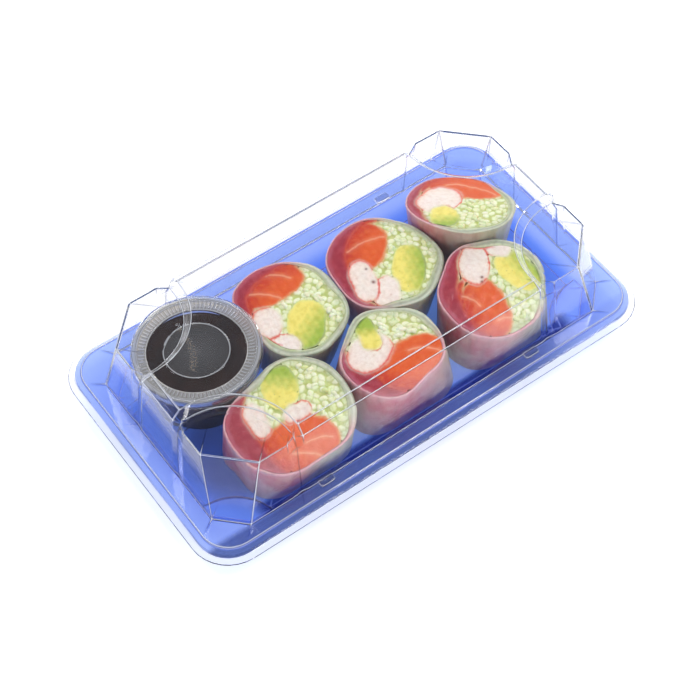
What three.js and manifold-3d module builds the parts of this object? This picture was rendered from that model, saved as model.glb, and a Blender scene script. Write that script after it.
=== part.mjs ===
// Takeaway sushi tray: a blue plastic tray, its clear lid pressed on, six cut rolls and a pot of soy sauce.
// Millimetres, +Z up, +X along the long side, the sauce pot at the -X end, the origin under the middle
// of the tray, which stands on z = 0.
import * as THREE from "three";
import { mergeVertices } from "three/addons/utils/BufferGeometryUtils.js";
import Module from "manifold-3d";

const wasm = await Module();
wasm.setup();

const GAP = 0.3; // between pieces that touch
const SHEET = 0.6; // plastic of tray and lid

// Tray, as half lengths along X and Y
const RIDGE = [109.3, 58.7]; // the line where tray and lid meet and turn down
const RIDGE_Z = 12.6;
const RIDGE_CORNER = 13;
const TRAY_EDGE = [112, 61.4];
const TRAY_EDGE_Z = 10.6;
const WELL_TOP = [101.3, 51.8];
const WELL_TOP_Z = 11.9;
const WELL_CHAMFER = 11.5;
const FLOOR = [97, 44];
const PAD_Z = 5.6; // raised corner pads of the well
const PAD_T = 0.45; // how far up the well's wall they reach
const PAD_CENTRE = [98, 51];
const PAD_FOOT_RADIUS = 23;
const PAD_TOP_RADIUS = 21;

// Lid
const LID_LIFT = 0.9; // lid above the tray where they nest
const SKIRT_TOP = [112.6, 62];
const SKIRT_TOP_Z = 11.9;
const SKIRT_FOOT = [115, 64.4];
const SKIRT_FOOT_Z = 9.3;
const DOME_FOOT = [102, 52.5];
const SHOULDER = [98.5, 48.4]; // outer edge of the lid's top
const SHOULDER_Z = 46.3;
const SHOULDER_CHAMFER = 16.7;
const BEVEL = [97.1, 46.9]; // crease within the bevel round the top
const BEVEL_Z = 47.5;
const PLATEAU = [94.6, 44.3];
const PLATEAU_Z = 49.3;
const SCOOP_CENTRE = [92.2, 42.7]; // the round corner channels share it
const SCOOP_OUTER = 32; // plateau side of the channel
const SCOOP_FLOOR = 28.8;
const SCOOP_INNER = 24.6; // corner lobe side
const CHANNEL_Z = 45.4;
const FLUTE_DEPTH = 0.6; // the channels run on down the dome's sides as faint flutes
const FLUTE_Z = 40;
const FLUTE_T = 0.81; // how far up the side FLUTE_Z is
const SNAP = { x: 54, y: 54, length: 7, width: 3.6, height: 0.8 };

// Sauce pot
const POT = { x: -67.4, y: 20.3, foot: 19.6, mouth: 26, lip: 27, wall: 0.8, z: 0.9, height: 30.6 };
const POT_LID = { radius: 28, recess: 21.6, z: 29.6, top: 33.6, disc: 31.8 };
const CRIMPS = 40;
const SAUCE_Z = 25;

// Rolls
const ROLL_Z = 0.9; // just clear of the tray's floor
const WRAP = 1.5;
const CROWN = 0.7; // the fillings bulge this much at the middle of the cut
const ROLL_SIDES = 40;
const UNIT = 10; // height of a roll before it is set in place
const SQUARENESS = 0.85; // of the ellipses cut out for the fillings, 1 is a plain ellipse
const OUTSIDE = 40; // further from a roll's middle than any of its outside

const degrees = THREE.MathUtils.degToRad;

function material(color, roughness, opacity = 1) {
  const transparent = opacity < 1;
  return new THREE.MeshStandardMaterial({ color, roughness, metalness: 0, opacity, transparent });
}

const MATERIALS = {
  tray: material("#3f68d8", 0.15, 0.55),
  lid: material("#eef2fa", 0.08, 0.25),
  pot: material("#dfe3e8", 0.1, 0.35),
  potLid: material("#cfcfcf", 0.15, 0.5),
  sauce: material("#24140c", 0.1),
  wrapper: material("#d2d0c2", 0.35, 0.7),
  tuna: material("#b03a44", 0.35),
  salmon: material("#e2662c", 0.35),
  crab: material("#efdccb", 0.5),
  avocado: material("#d6d65a", 0.5),
  cucumber: material("#dce79c", 0.35),
};

const group = new THREE.Group();

function addPiece(name, geometry, look) {
  const mesh = new THREE.Mesh(geometry, look);
  mesh.name = name;
  group.add(mesh);
  return mesh;
}

// ---- closed solids and boolean cuts ----

function geometryOf(vertices, triangles) {
  const geometry = new THREE.BufferGeometry();
  geometry.setAttribute("position", new THREE.Float32BufferAttribute(vertices, 3));
  geometry.setIndex(triangles);
  return geometry;
}

function solidOf(geometry) {
  const bare = geometry.clone();
  bare.deleteAttribute("normal");
  bare.deleteAttribute("uv");
  const merged = mergeVertices(bare, 1e-4);
  return new wasm.Manifold(
    new wasm.Mesh({
      numProp: 3,
      vertProperties: merged.attributes.position.array,
      triVerts: new Uint32Array(merged.index.array),
    }),
  );
}

function largestBody(solid) {
  const bodies = solid.decompose();
  return bodies.reduce((best, body) => (body.volume() > best.volume() ? body : best));
}

// The geometry of a solid, with each point moved by place(x, y, z) -> [x, y, z].
function geometryFrom(solid, place = (x, y, z) => [x, y, z]) {
  const mesh = solid.getMesh();
  const vertices = [];
  for (let i = 0; i < mesh.numVert; i += 1) {
    const [x, y, z] = mesh.vertProperties.slice(i * mesh.numProp, i * mesh.numProp + 3);
    vertices.push(...place(x, y, z));
  }
  return geometryOf(vertices, Array.from(mesh.triVerts));
}

// ---- tray and lid: sheets lofted through rings of matched points ----

const CORNER_POINTS = 9; // between the ends of a corner channel

const grow = (half, by) => [half[0] + by, half[1] + by];

const lerp = (a, b, t) => a + (b - a) * t;

// Points from a to b, both included.
function straight(a, b, count) {
  return Array.from({ length: count }, (_, i) => {
    const t = i / (count - 1);
    return [lerp(a[0], b[0], t), lerp(a[1], b[1], t)];
  });
}

function arc(centre, radius, from, to, count) {
  return Array.from({ length: count }, (_, i) => {
    const angle = degrees(lerp(from, to, i / (count - 1)));
    return [centre[0] + radius * Math.cos(angle), centre[1] + radius * Math.sin(angle)];
  });
}

// Where a circle about centre crosses x = half[0] and y = half[1], on the side towards the middle.
function crossings(half, centre, radius) {
  const y = centre[1] - Math.sqrt(radius ** 2 - (half[0] - centre[0]) ** 2);
  const x = centre[0] - Math.sqrt(radius ** 2 - (half[1] - centre[1]) ** 2);
  return [[half[0], y], [x, half[1]]];
}

// The two ends of the corner stretch of a ring: where the channel's lobe side meets the outline.
function lobeEnds(half) {
  return crossings(half, SCOOP_CENTRE, SCOOP_INNER);
}

function channelEnds(half) {
  return crossings(half, SCOOP_CENTRE, SCOOP_OUTER);
}

// Where the channel's floor line leaves the ring, moved in by depth.
function notchEnds(half, depth) {
  return crossings(grow(half, -depth), SCOOP_CENTRE, SCOOP_FLOOR);
}

// The named points on a ring's two sides: where the channel's outer edge, floor and inner edge meet it.
function sidePoints(half, depth = 0) {
  return { bar: channelEnds(half), notch: notchEnds(half, depth), lobe: lobeEnds(half) };
}

// The same for the ring round a corner pad, whose arc ends where a lobe would.
function padSidePoints(half, radius) {
  const [barA, barB] = channelEnds(half);
  const [a, b] = crossings(half, PAD_CENTRE, radius);
  const middle = (p, q) => [lerp(p[0], q[0], 0.5), lerp(p[1], q[1], 0.5)];
  return { bar: [barA, barB], notch: [middle(barA, a), middle(b, barB)], lobe: [a, b] };
}

// A quarter ring with a plain corner: cut off by a chamfer, or rounded.
function cornerQuarter(half, size, rounded, side = sidePoints(half)) {
  const [lobeA, lobeB] = side.lobe;
  const [barA, barB] = side.bar;
  const [notchA, notchB] = side.notch;
  const startX = [half[0], half[1] - size];
  const endY = [half[0] - size, half[1]];
  const centre = [half[0] - size, half[1] - size];
  const turn = rounded ? arc(centre, size, 0, 90, 5) : straight(startX, endY, 5);
  return [
    [half[0], 0],
    barA,
    notchA,
    lobeA,
    ...straight(lobeA, startX, 4).slice(1, 3),
    ...turn,
    ...straight(endY, lobeB, 4).slice(1, 3),
    lobeB,
    notchB,
    barB,
    [0, half[1]],
  ];
}

function angleAbout(centre, point) {
  const angle = THREE.MathUtils.radToDeg(Math.atan2(point[1] - centre[1], point[0] - centre[0]));
  return angle > 90 ? angle - 360 : angle;
}

// A quarter ring whose corner is an arc that bulges towards the middle, from point a to point b.
function scoopQuarter(half, centre, radius, a, b, before, after) {
  const count = CORNER_POINTS + 6 - before.length - after.length;
  const bend = arc(centre, radius, angleAbout(centre, a), angleAbout(centre, b), count);
  return [[half[0], 0], ...before, ...bend, ...after, [0, half[1]]];
}

function plateauQuarter(half) {
  const [a, b] = channelEnds(half);
  return scoopQuarter(half, SCOOP_CENTRE, SCOOP_OUTER, a, b, [], []);
}

function channelQuarter(half, outline) {
  const [barA, barB] = channelEnds(half);
  const [a, b] = notchEnds(outline, NOTCH_DEPTH);
  return scoopQuarter(half, SCOOP_CENTRE, SCOOP_FLOOR, a, b, [barA], [barB]);
}

function lobeQuarter(half, outline) {
  const [barA, barB] = channelEnds(half);
  const [notchA, notchB] = notchEnds(outline, NOTCH_DEPTH);
  const [a, b] = lobeEnds(outline);
  return scoopQuarter(half, SCOOP_CENTRE, SCOOP_INNER, a, b, [barA, notchA], [notchB, barB]);
}

function padQuarter(half, radius) {
  const { bar, notch, lobe } = padSidePoints(half, radius);
  return scoopQuarter(half, PAD_CENTRE, radius, ...lobe, [bar[0], notch[0]], [notch[1], bar[1]]);
}

const NOTCH_DEPTH = 2.5;
const NOTCH_POINTS = [2, CORNER_POINTS + 5]; // places of the notch in a quarter

// The four quarters of a ring, once round, each point [x, y, z]; the notch points may lie lower.
function ring(quarter, z, notchZ = z) {
  const last = quarter.length - 1;
  const place = ([x, y], i) => [x, y, NOTCH_POINTS.includes(i) ? notchZ : z];
  const first = quarter.map(place);
  const back = first.slice(0, last).reverse();
  const mirror = (points, sx, sy) => points.map(([x, y, h]) => [x * sx, y * sy, h]);
  return [
    ...first,
    ...mirror(back, -1, 1),
    ...mirror(first.slice(1), -1, -1),
    ...mirror(back.slice(0, last - 1), 1, -1),
  ];
}

// One closed sheet: rings from the middle of its underside out, over the edge, and back in on top.
function loft(rings) {
  const count = rings[0].length;
  const vertices = rings.flat(2);
  const triangles = [];
  for (let r = 0; r + 1 < rings.length; r += 1)
    for (let i = 0; i < count; i += 1) {
      const next = (i + 1) % count;
      const [a, b] = [r * count + i, r * count + next];
      const [c, d] = [a + count, b + count];
      triangles.push(a, b, d, a, d, c);
    }
  const middle = (z) => vertices.push(0, 0, z) / 3 - 1;
  const bottom = middle(rings[0][0][2]);
  const top = middle(rings[rings.length - 1][0][2]);
  const start = (rings.length - 1) * count;
  for (let i = 0; i < count; i += 1) {
    const next = (i + 1) % count;
    triangles.push(bottom, next, i);
    triangles.push(top, start + i, start + next);
  }
  return weld(vertices, triangles);
}

// Joins equal points and drops the triangles that this leaves without an area.
function weld(vertices, triangles) {
  const merged = mergeVertices(geometryOf(vertices, triangles), 1e-4);
  const index = Array.from(merged.index.array);
  const kept = [];
  for (let i = 0; i < index.length; i += 3) {
    const [a, b, c] = index.slice(i, i + 3);
    if (a !== b && b !== c && c !== a) kept.push(a, b, c);
  }
  merged.setIndex(kept);
  return merged;
}

function trayRings(drop, inset) {
  const onWall = (axis) => lerp(FLOOR[axis], WELL_TOP[axis], PAD_T) + inset;
  const padHalf = [onWall(0), onWall(1)];
  const padRadius = PAD_TOP_RADIUS - inset;
  const wellTop = grow(WELL_TOP, inset);
  return [
    ring(padQuarter(grow(FLOOR, inset), PAD_FOOT_RADIUS - inset), SHEET - drop),
    ring(padQuarter(padHalf, padRadius), PAD_Z - drop),
    ring(cornerQuarter(padHalf, WELL_CHAMFER, false, padSidePoints(padHalf, padRadius)), PAD_Z - drop),
    ring(cornerQuarter(wellTop, WELL_CHAMFER, false), WELL_TOP_Z - drop),
    ring(cornerQuarter(RIDGE, RIDGE_CORNER, true), RIDGE_Z - drop),
    ring(cornerQuarter(TRAY_EDGE, RIDGE_CORNER + 2, true), TRAY_EDGE_Z - drop),
  ];
}

function buildTray() {
  addPiece("tray", loft([...trayRings(SHEET, 0.35), ...trayRings(0, 0).reverse()]), MATERIALS.tray);
}

function lidRings(drop, inset) {
  const rounded = (half, z, corner) => ring(cornerQuarter(half, corner, true), z);
  const fluted = (half, chamfer, depth, ...heights) =>
    ring(cornerQuarter(half, chamfer, false, sidePoints(half, depth)), ...heights);
  const shoulder = grow(SHOULDER, -inset);
  const bevel = grow(BEVEL, -inset);
  const side = (axis) => lerp(DOME_FOOT[axis], SHOULDER[axis], FLUTE_T) - inset;
  const flute = [side(0), side(1)];
  const fluteChamfer = lerp(WELL_CHAMFER, SHOULDER_CHAMFER, FLUTE_T);
  return [
    rounded(grow(SKIRT_FOOT, -inset), SKIRT_FOOT_Z, RIDGE_CORNER + 5),
    rounded(grow(SKIRT_TOP, -inset), SKIRT_TOP_Z - drop / 2, RIDGE_CORNER + 3),
    rounded(RIDGE, RIDGE_Z + LID_LIFT - drop, RIDGE_CORNER),
    fluted(grow(DOME_FOOT, -inset), WELL_CHAMFER, FLUTE_DEPTH, WELL_TOP_Z + LID_LIFT - drop),
    fluted(flute, fluteChamfer, FLUTE_DEPTH, FLUTE_Z),
    fluted(shoulder, SHOULDER_CHAMFER, NOTCH_DEPTH, SHOULDER_Z - drop, CHANNEL_Z - drop),
    ring(lobeQuarter(bevel, shoulder), SHOULDER_Z - drop, CHANNEL_Z - drop),
    ring(channelQuarter(bevel, shoulder), CHANNEL_Z - drop),
    ring(plateauQuarter(grow(PLATEAU, -inset)), PLATEAU_Z - drop),
  ].map((points, level) => (BEVEL_LEVELS.includes(level) ? raiseBars(points, drop) : points));
}

const BEVEL_LEVELS = [6, 7]; // rings that follow the bevel's crease between the corners
const BAR_POINTS = [0, 1, CORNER_POINTS + 6, CORNER_POINTS + 7];

// Sets the points of a ring that lie on the bevel to the height of its crease.
function raiseBars(points, drop) {
  const quarter = CORNER_POINTS + 7;
  return points.map(([x, y, z], i) => {
    const along = i % quarter;
    const turned = Math.floor(i / quarter) % 2 ? quarter - along : along;
    return BAR_POINTS.includes(turned) ? [x, y, BEVEL_Z - drop] : [x, y, z];
  });
}

function buildLid() {
  const sheet = loft([...lidRings(SHEET, SHEET).reverse(), ...lidRings(0, 0)]);
  let solid = solidOf(sheet);
  for (const x of [-SNAP.x, SNAP.x])
    for (const y of [-SNAP.y, SNAP.y]) {
      const block = new THREE.BoxGeometry(SNAP.length, SNAP.width, SNAP.height);
      block.translate(x, y, WELL_TOP_Z + LID_LIFT + SNAP.height / 2 - 0.1);
      solid = solid.add(solidOf(block));
    }
  addPiece("lid", geometryFrom(solid), MATERIALS.lid);
}

// ---- sauce pot ----

function turned(profile, sides) {
  return new THREE.LatheGeometry(profile.map(([r, z]) => new THREE.Vector2(r, z)), sides)
    .rotateX(Math.PI / 2)
    .translate(POT.x, POT.y, 0);
}

const potRadius = (z) => lerp(POT.foot, POT.mouth, (z - POT.z) / (POT.height - 2));

function buildPot() {
  const top = POT.z + POT.height;
  const profile = [
    [0, POT.z],
    [POT.foot, POT.z],
    [POT.mouth, top - 2],
    [POT.lip, top - 1.6],
    [POT.lip, top],
    [potRadius(top) - POT.wall, top],
    [potRadius(POT.z + POT.wall) - POT.wall, POT.z + POT.wall],
    [0, POT.z + POT.wall],
  ];
  addPiece("sauce_cup", turned(profile, 40), MATERIALS.pot);
  const foot = POT.z + POT.wall + GAP;
  const inside = (z) => potRadius(z) - POT.wall - GAP;
  const sauce = [
    [0, foot],
    [inside(foot), foot],
    [inside(SAUCE_Z), SAUCE_Z],
    [0, SAUCE_Z],
  ];
  addPiece("soy_sauce", turned(sauce, 40), MATERIALS.sauce);
}

// The ring between the recess and the rim is crimped: its surface rises and falls round the lid.
function buildPotLid() {
  const profile = [
    [0, POT_LID.disc - SHEET],
    [POT_LID.recess - SHEET, POT_LID.disc - SHEET],
    [POT_LID.recess, POT_LID.top - 1 - SHEET],
    [POT_LID.radius - 0.8, POT_LID.top - 0.3 - SHEET],
    [POT_LID.radius - SHEET, POT_LID.z],
    [POT_LID.radius, POT_LID.z],
    [POT_LID.radius - 0.2, POT_LID.top - 0.4],
    [POT_LID.radius - 0.9, POT_LID.top],
    [POT_LID.radius - 1.8, POT_LID.top - 0.1],
    [POT_LID.recess + 0.8, POT_LID.top - 0.9],
    [POT_LID.recess - 0.3, POT_LID.disc],
    [0, POT_LID.disc],
  ];
  const geometry = turned(profile, CRIMPS);
  const points = geometry.attributes.position;
  for (let i = 0; i < points.count; i += 1) {
    const [dx, dy] = [points.getX(i) - POT.x, points.getY(i) - POT.y];
    const radius = Math.hypot(dx, dy);
    const crimped = radius > POT_LID.recess + 0.5 && radius < POT_LID.radius - 1.5;
    const step = Math.round((Math.atan2(dy, dx) / (2 * Math.PI)) * CRIMPS);
    if (crimped && step % 2) points.setZ(i, points.getZ(i) - 0.35);
  }
  addPiece("sauce_cup_lid", geometry, MATERIALS.potLid);
}

// ---- rolls ----

// Each roll: the middle of its base and of its cut face, its radius there, how much narrower the base
// is, the paper's outline at the foot where that is pressed wide, how far the cut slopes, flats
// [direction, distance] where the roll is pressed, and what shows at the cut, each in front of those
// after it: ellipses [node, across, up, half length, half width, turn], and the tuna, a crescent along
// the rim [node, from, to, thickness]. Cucumber fills the rest.
const ROLLS = {
  a: {
    base: [-23.5, 20],
    face: [-22.7, 17.2, 28],
    radius: 26.5,
    taper: 0.875,
    lean: 0,
    flats: [[180, 18.6], [-4.4, 24], [-62.5, 25.8], [-125, 24.5]],
    cuts: [
      ["crab_1", -11.5, -0.8, 8.3, 6.2, 72],
      ["crab_2", -13.2, -14.2, 8, 5.8, -30],
      ["avocado", 1.6, -11, 12.6, 8.3, 52],
      ["tuna", 52, 186, 5.8],
      ["salmon", 0.5, 14.5, 15.8, 9, 2],
    ],
  },
  b: {
    base: [26, 15],
    face: [25.9, 13.5, 28],
    radius: 26.5,
    taper: 0.87,
    lean: 0,
    flats: [[37, 24], [6, 24], [-54, 25.2], [-107, 25], [175.6, 24.2], [-122, 25.3]],
    cuts: [
      ["crab_1", -13.8, -3.2, 11.3, 5.8, 70],
      ["crab_2", -9.2, -13.8, 8.6, 6.2, 58],
      ["avocado", 6.4, -8.8, 12.8, 7.3, 54],
      ["tuna", 69, 232, 8],
      ["salmon", -3, 12.4, 13.6, 10.6, 42],
    ],
  },
  c: {
    base: [70, 17],
    face: [72.3, 19.4, 29],
    radius: 25,
    taper: 0.85,
    lean: 0.36,
    flats: [[45, 22.2], [5, 21.8], [-154, 21.9], [180, 22.8], [-111.5, 23.6]],
    cuts: [
      ["avocado", -12.6, -4, 8.2, 6.4, 62],
      ["crab_1", -6, 7.8, 11.2, 9.4, 18],
      ["tuna", 85, 192, 5],
      ["salmon", 10.5, 9, 17.5, 9.8, -45],
    ],
  },
  d: {
    base: [-53.5, -20],
    face: [-52.5, -25.7, 27.2],
    radius: 28,
    taper: 0.86,
    foot: { radius: 31, flats: [[-90, 23.5], [180, 25], [0, 26], [104, 18.5], [55, 24]] },
    lean: -0.13,
    flats: [[-90, 24.1], [104, 20.9], [55, 26], [-3, 27.4]],
    cuts: [
      ["crab_2", 3.2, -2, 6.4, 4.4, -5],
      ["avocado", 3.6, 11.6, 10.2, 7.8, 65],
      ["crab_1", -12.8, 4.6, 8.6, 4.8, 84],
      ["tuna", 118, 236, 10],
      ["salmon", -6, -15, 18, 12.5, -8],
    ],
  },
  e: {
    base: [1, -21.5],
    face: [0.5, -27.3, 30],
    radius: 25,
    taper: 0.87,
    foot: {
      radius: 31,
      flats: [[-90, 22], [180, 26.5], [0, 27.3], [-35, 29], [60, 21], [95, 22.5], [122, 21]],
    },
    lean: 0,
    flats: [[58, 21.5], [0, 21.5], [-78, 18.9], [-35, 21], [128, 21.6], [102, 24.2], [178, 24.4]],
    cuts: [
      ["avocado", -4.6, 12.8, 9, 4.6, 74],
      ["crab_1", -9.4, 4.8, 11, 8.6, 20],
      ["tuna", 142, 250, 8],
      ["salmon", 1.5, -11, 18.5, 12.8, 0],
    ],
  },
  f: {
    base: [56, -21],
    face: [54.6, -25.4, 29],
    radius: 25.5,
    taper: 0.81,
    foot: { radius: 29.5, flats: [[-90, 22.5], [180, 26], [0, 25], [-40, 27], [68.5, 19.6], [126, 19]] },
    lean: -0.1,
    flats: [[-90, 23.8], [126, 22.5], [68.5, 23.9], [180, 24], [-42, 22.4]],
    cuts: [
      ["crab_1", 0.4, 13.4, 10.2, 6.8, 55],
      ["crab_2", 13.6, 15, 7, 4.8, -58],
      ["avocado", 13.8, 0, 11.8, 7.4, -82],
      ["tuna", 80, 232, 8],
      ["salmon", -9, -7.4, 15, 9.6, 72],
    ],
  },
};

const AWAY = [0.579, 0.815]; // the way the cut slopes down, for a lean above 0

// Distance from a roll's middle to its outside, in a direction: a circle with pressed flats.
function reach(roll, angle) {
  let radius = roll.radius;
  for (const [direction, distance] of roll.flats) {
    const facing = Math.cos(angle - degrees(direction));
    if (facing > 0.3) radius = Math.min(radius, distance / facing);
  }
  return radius;
}

function outlineShape(roll, inset) {
  const shape = new THREE.Shape();
  for (let i = 0; i < ROLL_SIDES; i += 1) {
    const angle = (i / ROLL_SIDES) * 2 * Math.PI;
    const radius = reach(roll, angle) - inset;
    const point = [radius * Math.cos(angle), radius * Math.sin(angle)];
    if (i) shape.lineTo(...point);
    else shape.moveTo(...point);
  }
  shape.closePath();
  return shape;
}

// An ellipse with squarer corners.
function cutShape([, across, up, length, width, turn], more) {
  const shape = new THREE.Shape();
  const steps = 16;
  for (let i = 0; i < steps; i += 1) {
    const angle = (i / steps) * 2 * Math.PI;
    const square = (value) => Math.sign(value) * Math.abs(value) ** SQUARENESS;
    const along = (length + more) * square(Math.cos(angle));
    const side = (width + more) * square(Math.sin(angle));
    const [c, s] = [Math.cos(degrees(turn)), Math.sin(degrees(turn))];
    const point = [across + along * c - side * s, up + along * s + side * c];
    if (i) shape.lineTo(...point);
    else shape.moveTo(...point);
  }
  shape.closePath();
  return shape;
}

// A crescent inside the wrapper, thickest half way between two directions and thin at both ends.
function crescentShape(roll, [, from, to, thickness], more) {
  const steps = 12;
  const past = THREE.MathUtils.radToDeg(more / roll.radius);
  const [start, end] = [from - past, to + past];
  const thin = Math.cos(degrees((to - from) / 2));
  const shape = new THREE.Shape();
  const lineTo = (direction, radius) => {
    const angle = degrees(direction);
    shape.lineTo(radius * Math.cos(angle), radius * Math.sin(angle));
  };
  shape.moveTo(OUTSIDE * Math.cos(degrees(start)), OUTSIDE * Math.sin(degrees(start)));
  for (let i = 0; i <= steps; i += 1) {
    const direction = lerp(start, end, i / steps);
    const facing = Math.cos(degrees(direction - (from + to) / 2));
    const depth = (thickness * Math.max(facing - thin, 0)) / (1 - thin);
    lineTo(direction, reach(roll, degrees(direction)) - WRAP - depth - more);
  }
  for (const back of [1, 2 / 3, 1 / 3]) lineTo(lerp(start, end, back), OUTSIDE);
  shape.closePath();
  return shape;
}

function prism(shape, from = 0, to = UNIT) {
  const geometry = new THREE.ExtrudeGeometry(shape, { depth: to - from, bevelEnabled: false });
  return solidOf(geometry.translate(0, 0, from));
}

// Cuts the shape of a grown neighbour out of a piece, right through.
const without = (solid, shape) => solid.subtract(prism(shape, -UNIT, 2 * UNIT));

function randomFrom(seed) {
  let state = seed;
  return () => {
    state = (state * 1664525 + 1013904223) % 4294967296;
    return state / 4294967296;
  };
}

const SHREDS = 15;

// A core with the ends of shreds standing out of it, all within the room that is left for them.
function cucumberSolid(room, seed) {
  const random = randomFrom(seed);
  const tall = 1.06 * UNIT;
  let heap = room(0.93 * UNIT);
  const space = room(tall);
  for (let i = 0; i < SHREDS; i += 1) {
    const size = 2.4 + 1.6 * random();
    const rise = (0.97 + 0.08 * random()) * UNIT;
    const stick = new THREE.BoxGeometry(size, 2.2, rise - 0.8 * UNIT);
    stick.translate(0, 0, (rise + 0.8 * UNIT) / 2);
    stick.rotateZ(random() * Math.PI);
    const spot = freeSpot(space, random);
    stick.translate(spot[0], spot[1], 0);
    heap = heap.add(solidOf(stick));
  }
  return largestBody(heap.intersect(space));
}

// A random place that lies inside a prism.
function freeSpot(space, random) {
  for (let tries = 0; tries < 60; tries += 1) {
    const probe = new THREE.BoxGeometry(1.6, 1.6, 1);
    const spot = [(random() - 0.5) * 52, (random() - 0.5) * 52];
    probe.translate(spot[0], spot[1], UNIT / 2);
    const box = solidOf(probe);
    if (box.intersect(space).volume() > 0.98 * box.volume()) return spot;
  }
  return [0, 0];
}

// Sets a point of the roll's own space (middle of the roll at 0, height 0 to UNIT) in the tray.
function placeIn(roll) {
  const [fx, fy, fz] = roll.face;
  return (x, y, z) => {
    const t = z / UNIT;
    const scale = lerp(roll.taper, 1, t);
    const px = lerp(roll.base[0], fx, t) + x * scale;
    const py = lerp(roll.base[1], fy, t) + y * scale;
    const crown = CROWN * Math.max(0, 1 - (x * x + y * y) / roll.radius ** 2);
    const top = fz + crown - roll.lean * (AWAY[0] * x + AWAY[1] * y);
    return [px, py, lerp(ROLL_Z, top, t)];
  };
}

// The same for the wrapper, whose outside at the foot has an outline of its own where the roll has one.
function placeWrapper(roll) {
  const place = placeIn(roll);
  return (x, y, z) => {
    const angle = Math.atan2(y, x);
    const outside = Math.hypot(x, y) > reach(roll, angle) - WRAP / 2;
    if (!roll.foot || !outside || z > 0) return place(x, y, z);
    const radius = reach(roll.foot, angle);
    return [roll.base[0] + radius * Math.cos(angle), roll.base[1] + radius * Math.sin(angle), ROLL_Z];
  };
}

function buildRoll(letter, roll, seed) {
  const place = placeIn(roll);
  const wrapper = outlineShape(roll, 0);
  wrapper.holes.push(outlineShape(roll, WRAP));
  addPiece(`roll_${letter}_wrapper`, geometryFrom(prism(wrapper), placeWrapper(roll)), MATERIALS.wrapper);
  const inner = outlineShape(roll, WRAP + GAP);
  const taken = [];
  const keepClear = (solid) => taken.reduce(without, solid);
  const shapeOf = (cut, more) =>
    cut[0] === "tuna" ? crescentShape(roll, cut, more) : cutShape(cut, more);
  for (const cut of roll.cuts) {
    const piece = keepClear(prism(shapeOf(cut, 0)).intersect(prism(inner)));
    const look = MATERIALS[cut[0].split("_")[0]];
    addPiece(`roll_${letter}_${cut[0]}`, geometryFrom(largestBody(piece), place), look);
    taken.push(shapeOf(cut, GAP));
  }
  const room = (height) => largestBody(keepClear(prism(inner, 0, height)));
  const shreds = cucumberSolid(room, seed);
  addPiece(`roll_${letter}_cucumber`, geometryFrom(shreds, place), MATERIALS.cucumber);
}

buildTray();
buildLid();
buildPot();
buildPotLid();
Object.entries(ROLLS).forEach(([letter, roll], i) => buildRoll(letter, roll, 11 + i));

export default group;
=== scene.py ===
"""Takeaway sushi tray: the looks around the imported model.

A clear lid pressed on a blue tray, with six cut rice-paper rolls and a lidded pot of soy sauce.
Sizes are in millimetres, as in the part's source, and become metres where a mesh is made.
"""

import math

import bpy
import numpy as np
from mathutils import Matrix, Vector


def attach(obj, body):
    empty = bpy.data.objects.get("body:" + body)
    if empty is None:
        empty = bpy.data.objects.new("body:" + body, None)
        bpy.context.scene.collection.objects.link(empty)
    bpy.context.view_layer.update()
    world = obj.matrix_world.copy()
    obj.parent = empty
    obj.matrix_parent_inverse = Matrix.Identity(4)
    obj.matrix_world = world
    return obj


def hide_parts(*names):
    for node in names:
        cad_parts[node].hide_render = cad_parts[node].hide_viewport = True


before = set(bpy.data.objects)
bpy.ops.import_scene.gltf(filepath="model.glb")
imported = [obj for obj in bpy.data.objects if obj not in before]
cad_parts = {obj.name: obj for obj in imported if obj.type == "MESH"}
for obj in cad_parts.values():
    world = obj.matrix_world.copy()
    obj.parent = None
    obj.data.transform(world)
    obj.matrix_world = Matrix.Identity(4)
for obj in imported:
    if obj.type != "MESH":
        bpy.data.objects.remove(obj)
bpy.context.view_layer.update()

MM = 0.001

# ---- sizes shared with the part ----

GAP = 0.3  # between pieces that touch
SHEET = 0.6  # plastic of tray and lid

RIDGE = (109.3, 58.7)  # where tray and lid meet and turn down
RIDGE_Z = 12.6
RIDGE_CORNER = 13
TRAY_EDGE = (112, 61.4)
TRAY_EDGE_Z = 10.6
WELL_TOP = (101.3, 51.8)
WELL_TOP_Z = 11.9
WELL_CHAMFER = 11.5
FLOOR = (97, 44)
PAD_Z = 5.6
PAD_T = 0.45
PAD_CENTRE = (98, 51)
PAD_FOOT_RADIUS = 23
PAD_TOP_RADIUS = 21

LID_LIFT = 0.9
SKIRT_TOP = (112.6, 62)
SKIRT_TOP_Z = 11.9
SKIRT_FOOT = (115, 64.4)
SKIRT_FOOT_Z = 9.3
DOME_FOOT = (102, 52.5)
SHOULDER = (98.5, 48.4)
SHOULDER_Z = 46.3
SHOULDER_CHAMFER = 16.7
BEVEL = (97.1, 46.9)
BEVEL_Z = 47.5
PLATEAU = (94.6, 44.3)
PLATEAU_Z = 49.3
SCOOP_CENTRE = (92.2, 42.7)
SCOOP_OUTER = 32
SCOOP_FLOOR = 28.8
SCOOP_INNER = 24.6
CHANNEL_Z = 45.4
NOTCH_DEPTH = 2.5
FLUTE_DEPTH = 0.6
FLUTE_Z = 40
FLUTE_T = 0.81
SNAP = {"x": 54, "y": 54, "length": 7, "width": 3.6, "height": 0.8}

POT = {"x": -67.4, "y": 20.3, "foot": 19.6, "mouth": 26, "lip": 27, "wall": 0.8, "z": 0.9, "height": 30.6}
POT_LID = {"radius": 28, "recess": 21.6, "z": 29.6, "top": 33.6, "disc": 31.8}
SAUCE_Z = 25

ROLL_Z = 0.9
WRAP = 1.5
CROWN = 0.7
AWAY = (0.579, 0.815)  # the way the cut slopes down, for a lean above 0

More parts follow.
